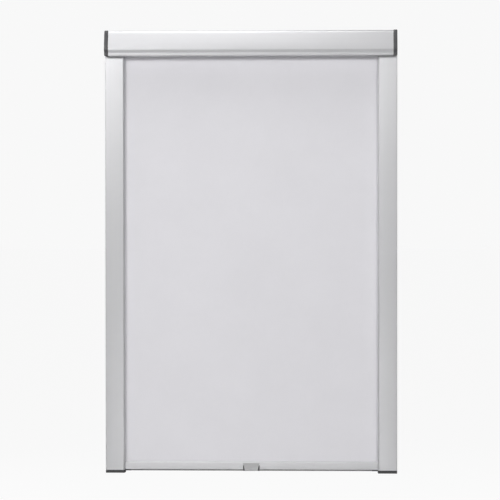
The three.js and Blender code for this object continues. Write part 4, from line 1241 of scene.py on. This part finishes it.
def studio_floor(studio, colour):
    """A plain pale floor that shows only a little of the light and shadow on it."""
    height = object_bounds()[0].z - studio.floor_drop
    corners = [(x * FLOOR_REACH, y * FLOOR_REACH, height) for x, y in ((-1, -1), (1, -1), (1, 1), (-1, 1))]
    mesh = bpy.data.meshes.new("floor")
    mesh.from_pydata(corners, [], [range(len(corners))])
    floor = linked("floor", mesh)
    made, nodes, shader = start_finish("Pale floor", Roughness=0.9, **{"Specular IOR Level": 0.0})
    cloud = patches(nodes, object_coordinates(nodes), 0.6, *NOISE_RANGE)
    camera = nodes.add("ShaderNodeLightPath").outputs["Is Camera Ray"]
    lit = toned(nodes, colour, cloud, FLOOR_TONE)
    shown = nodes.mix_colour(nodes.ramp(camera, 0.0, 1.0, 0.0, 1 - studio.floor_shade), lit, BLACK)
    glow = nodes.math("MULTIPLY", camera, studio.floor_glow)
    nodes.give(shader, {"Base Color": shown, "Emission Color": WHITE, "Emission Strength": glow})
    mesh.materials.append(made)
    floor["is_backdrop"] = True


def studio_camera(studio):
    lens = bpy.data.cameras.new("Camera")
    lens.sensor_width = SENSOR_WIDTH
    lens.lens = studio.camera_lens
    lens.clip_end = CAMERA_REACH
    camera = linked("Camera", lens)
    yaw, pitch, roll = studio.camera_yaw, studio.camera_pitch, studio.camera_roll
    ahead = Vector((math.sin(yaw) * math.cos(pitch), math.cos(yaw) * math.cos(pitch), math.sin(pitch)))
    turn = ahead.to_track_quat("-Z", "Y").to_matrix().to_4x4() @ Matrix.Rotation(roll, 4, "Z")
    camera.matrix_world = Matrix.Translation(studio.camera_place) @ turn
    bpy.context.scene.camera = camera


class BLIND_OT_stage(bpy.types.Operator):
    """Makes the floor, the light and the camera"""

    bl_idname = "blind.stage"
    bl_label = "Stage"

    def execute(self, context):
        studio = context.scene.blind_studio
        studio_world(studio)
        studio_floor(studio, context.scene.blind_colours.floor)
        studio_camera(studio)
        for name, (azimuth, elevation, distance, size, power) in SOFT_LIGHTS.items():
            area_light(name, (azimuth, elevation, distance), size, power * studio.light_share)
        context.scene.view_settings.view_transform = "Standard"
        context.scene.view_settings.look = "None"
        return {"FINISHED"}


OPERATORS = (
    BLIND_OT_headbox,
    BLIND_OT_end_caps,
    BLIND_OT_cap_screws,
    BLIND_OT_side_rails,
    BLIND_OT_foot_caps,
    BLIND_OT_cloth,
    BLIND_OT_roller,
    BLIND_OT_bottom_bar,
    BLIND_OT_grip,
    BLIND_OT_runners,
    BLIND_OT_stage,
)


class BLIND_PT_panel(bpy.types.Panel):
    """Lists the blind's pieces, sizes and colours"""

    bl_label = "Blackout blind"
    bl_idname = "BLIND_PT_panel"
    bl_space_type = "VIEW_3D"
    bl_region_type = "UI"
    bl_category = "Blind"

    def draw(self, context):
        for operator in OPERATORS:
            self.layout.operator(operator.bl_idname)
        for group in ("blind_sizes", "blind_colours", "blind_studio"):
            settings = getattr(context.scene, group)
            box = self.layout.box()
            for name in settings.__annotations__:
                box.prop(settings, name)


GROUP_CLASSES = {"blind_sizes": BlindSizes, "blind_colours": BlindColours, "blind_studio": BlindStudio}


def register():
    for name, group in GROUP_CLASSES.items():
        bpy.utils.register_class(group)
        setattr(bpy.types.Scene, name, bpy.props.PointerProperty(type=group))
    for operator in OPERATORS:
        bpy.utils.register_class(operator)
    bpy.utils.register_class(BLIND_PT_panel)


def unregister():
    bpy.utils.unregister_class(BLIND_PT_panel)
    for operator in reversed(OPERATORS):
        bpy.utils.unregister_class(operator)
    for name, group in GROUP_CLASSES.items():
        delattr(bpy.types.Scene, name)
        bpy.utils.unregister_class(group)


def main():
    register()
    for operator in OPERATORS:
        group, name = operator.bl_idname.split(".")
        getattr(getattr(bpy.ops, group), name)()


if __name__ == "__main__":
    main()
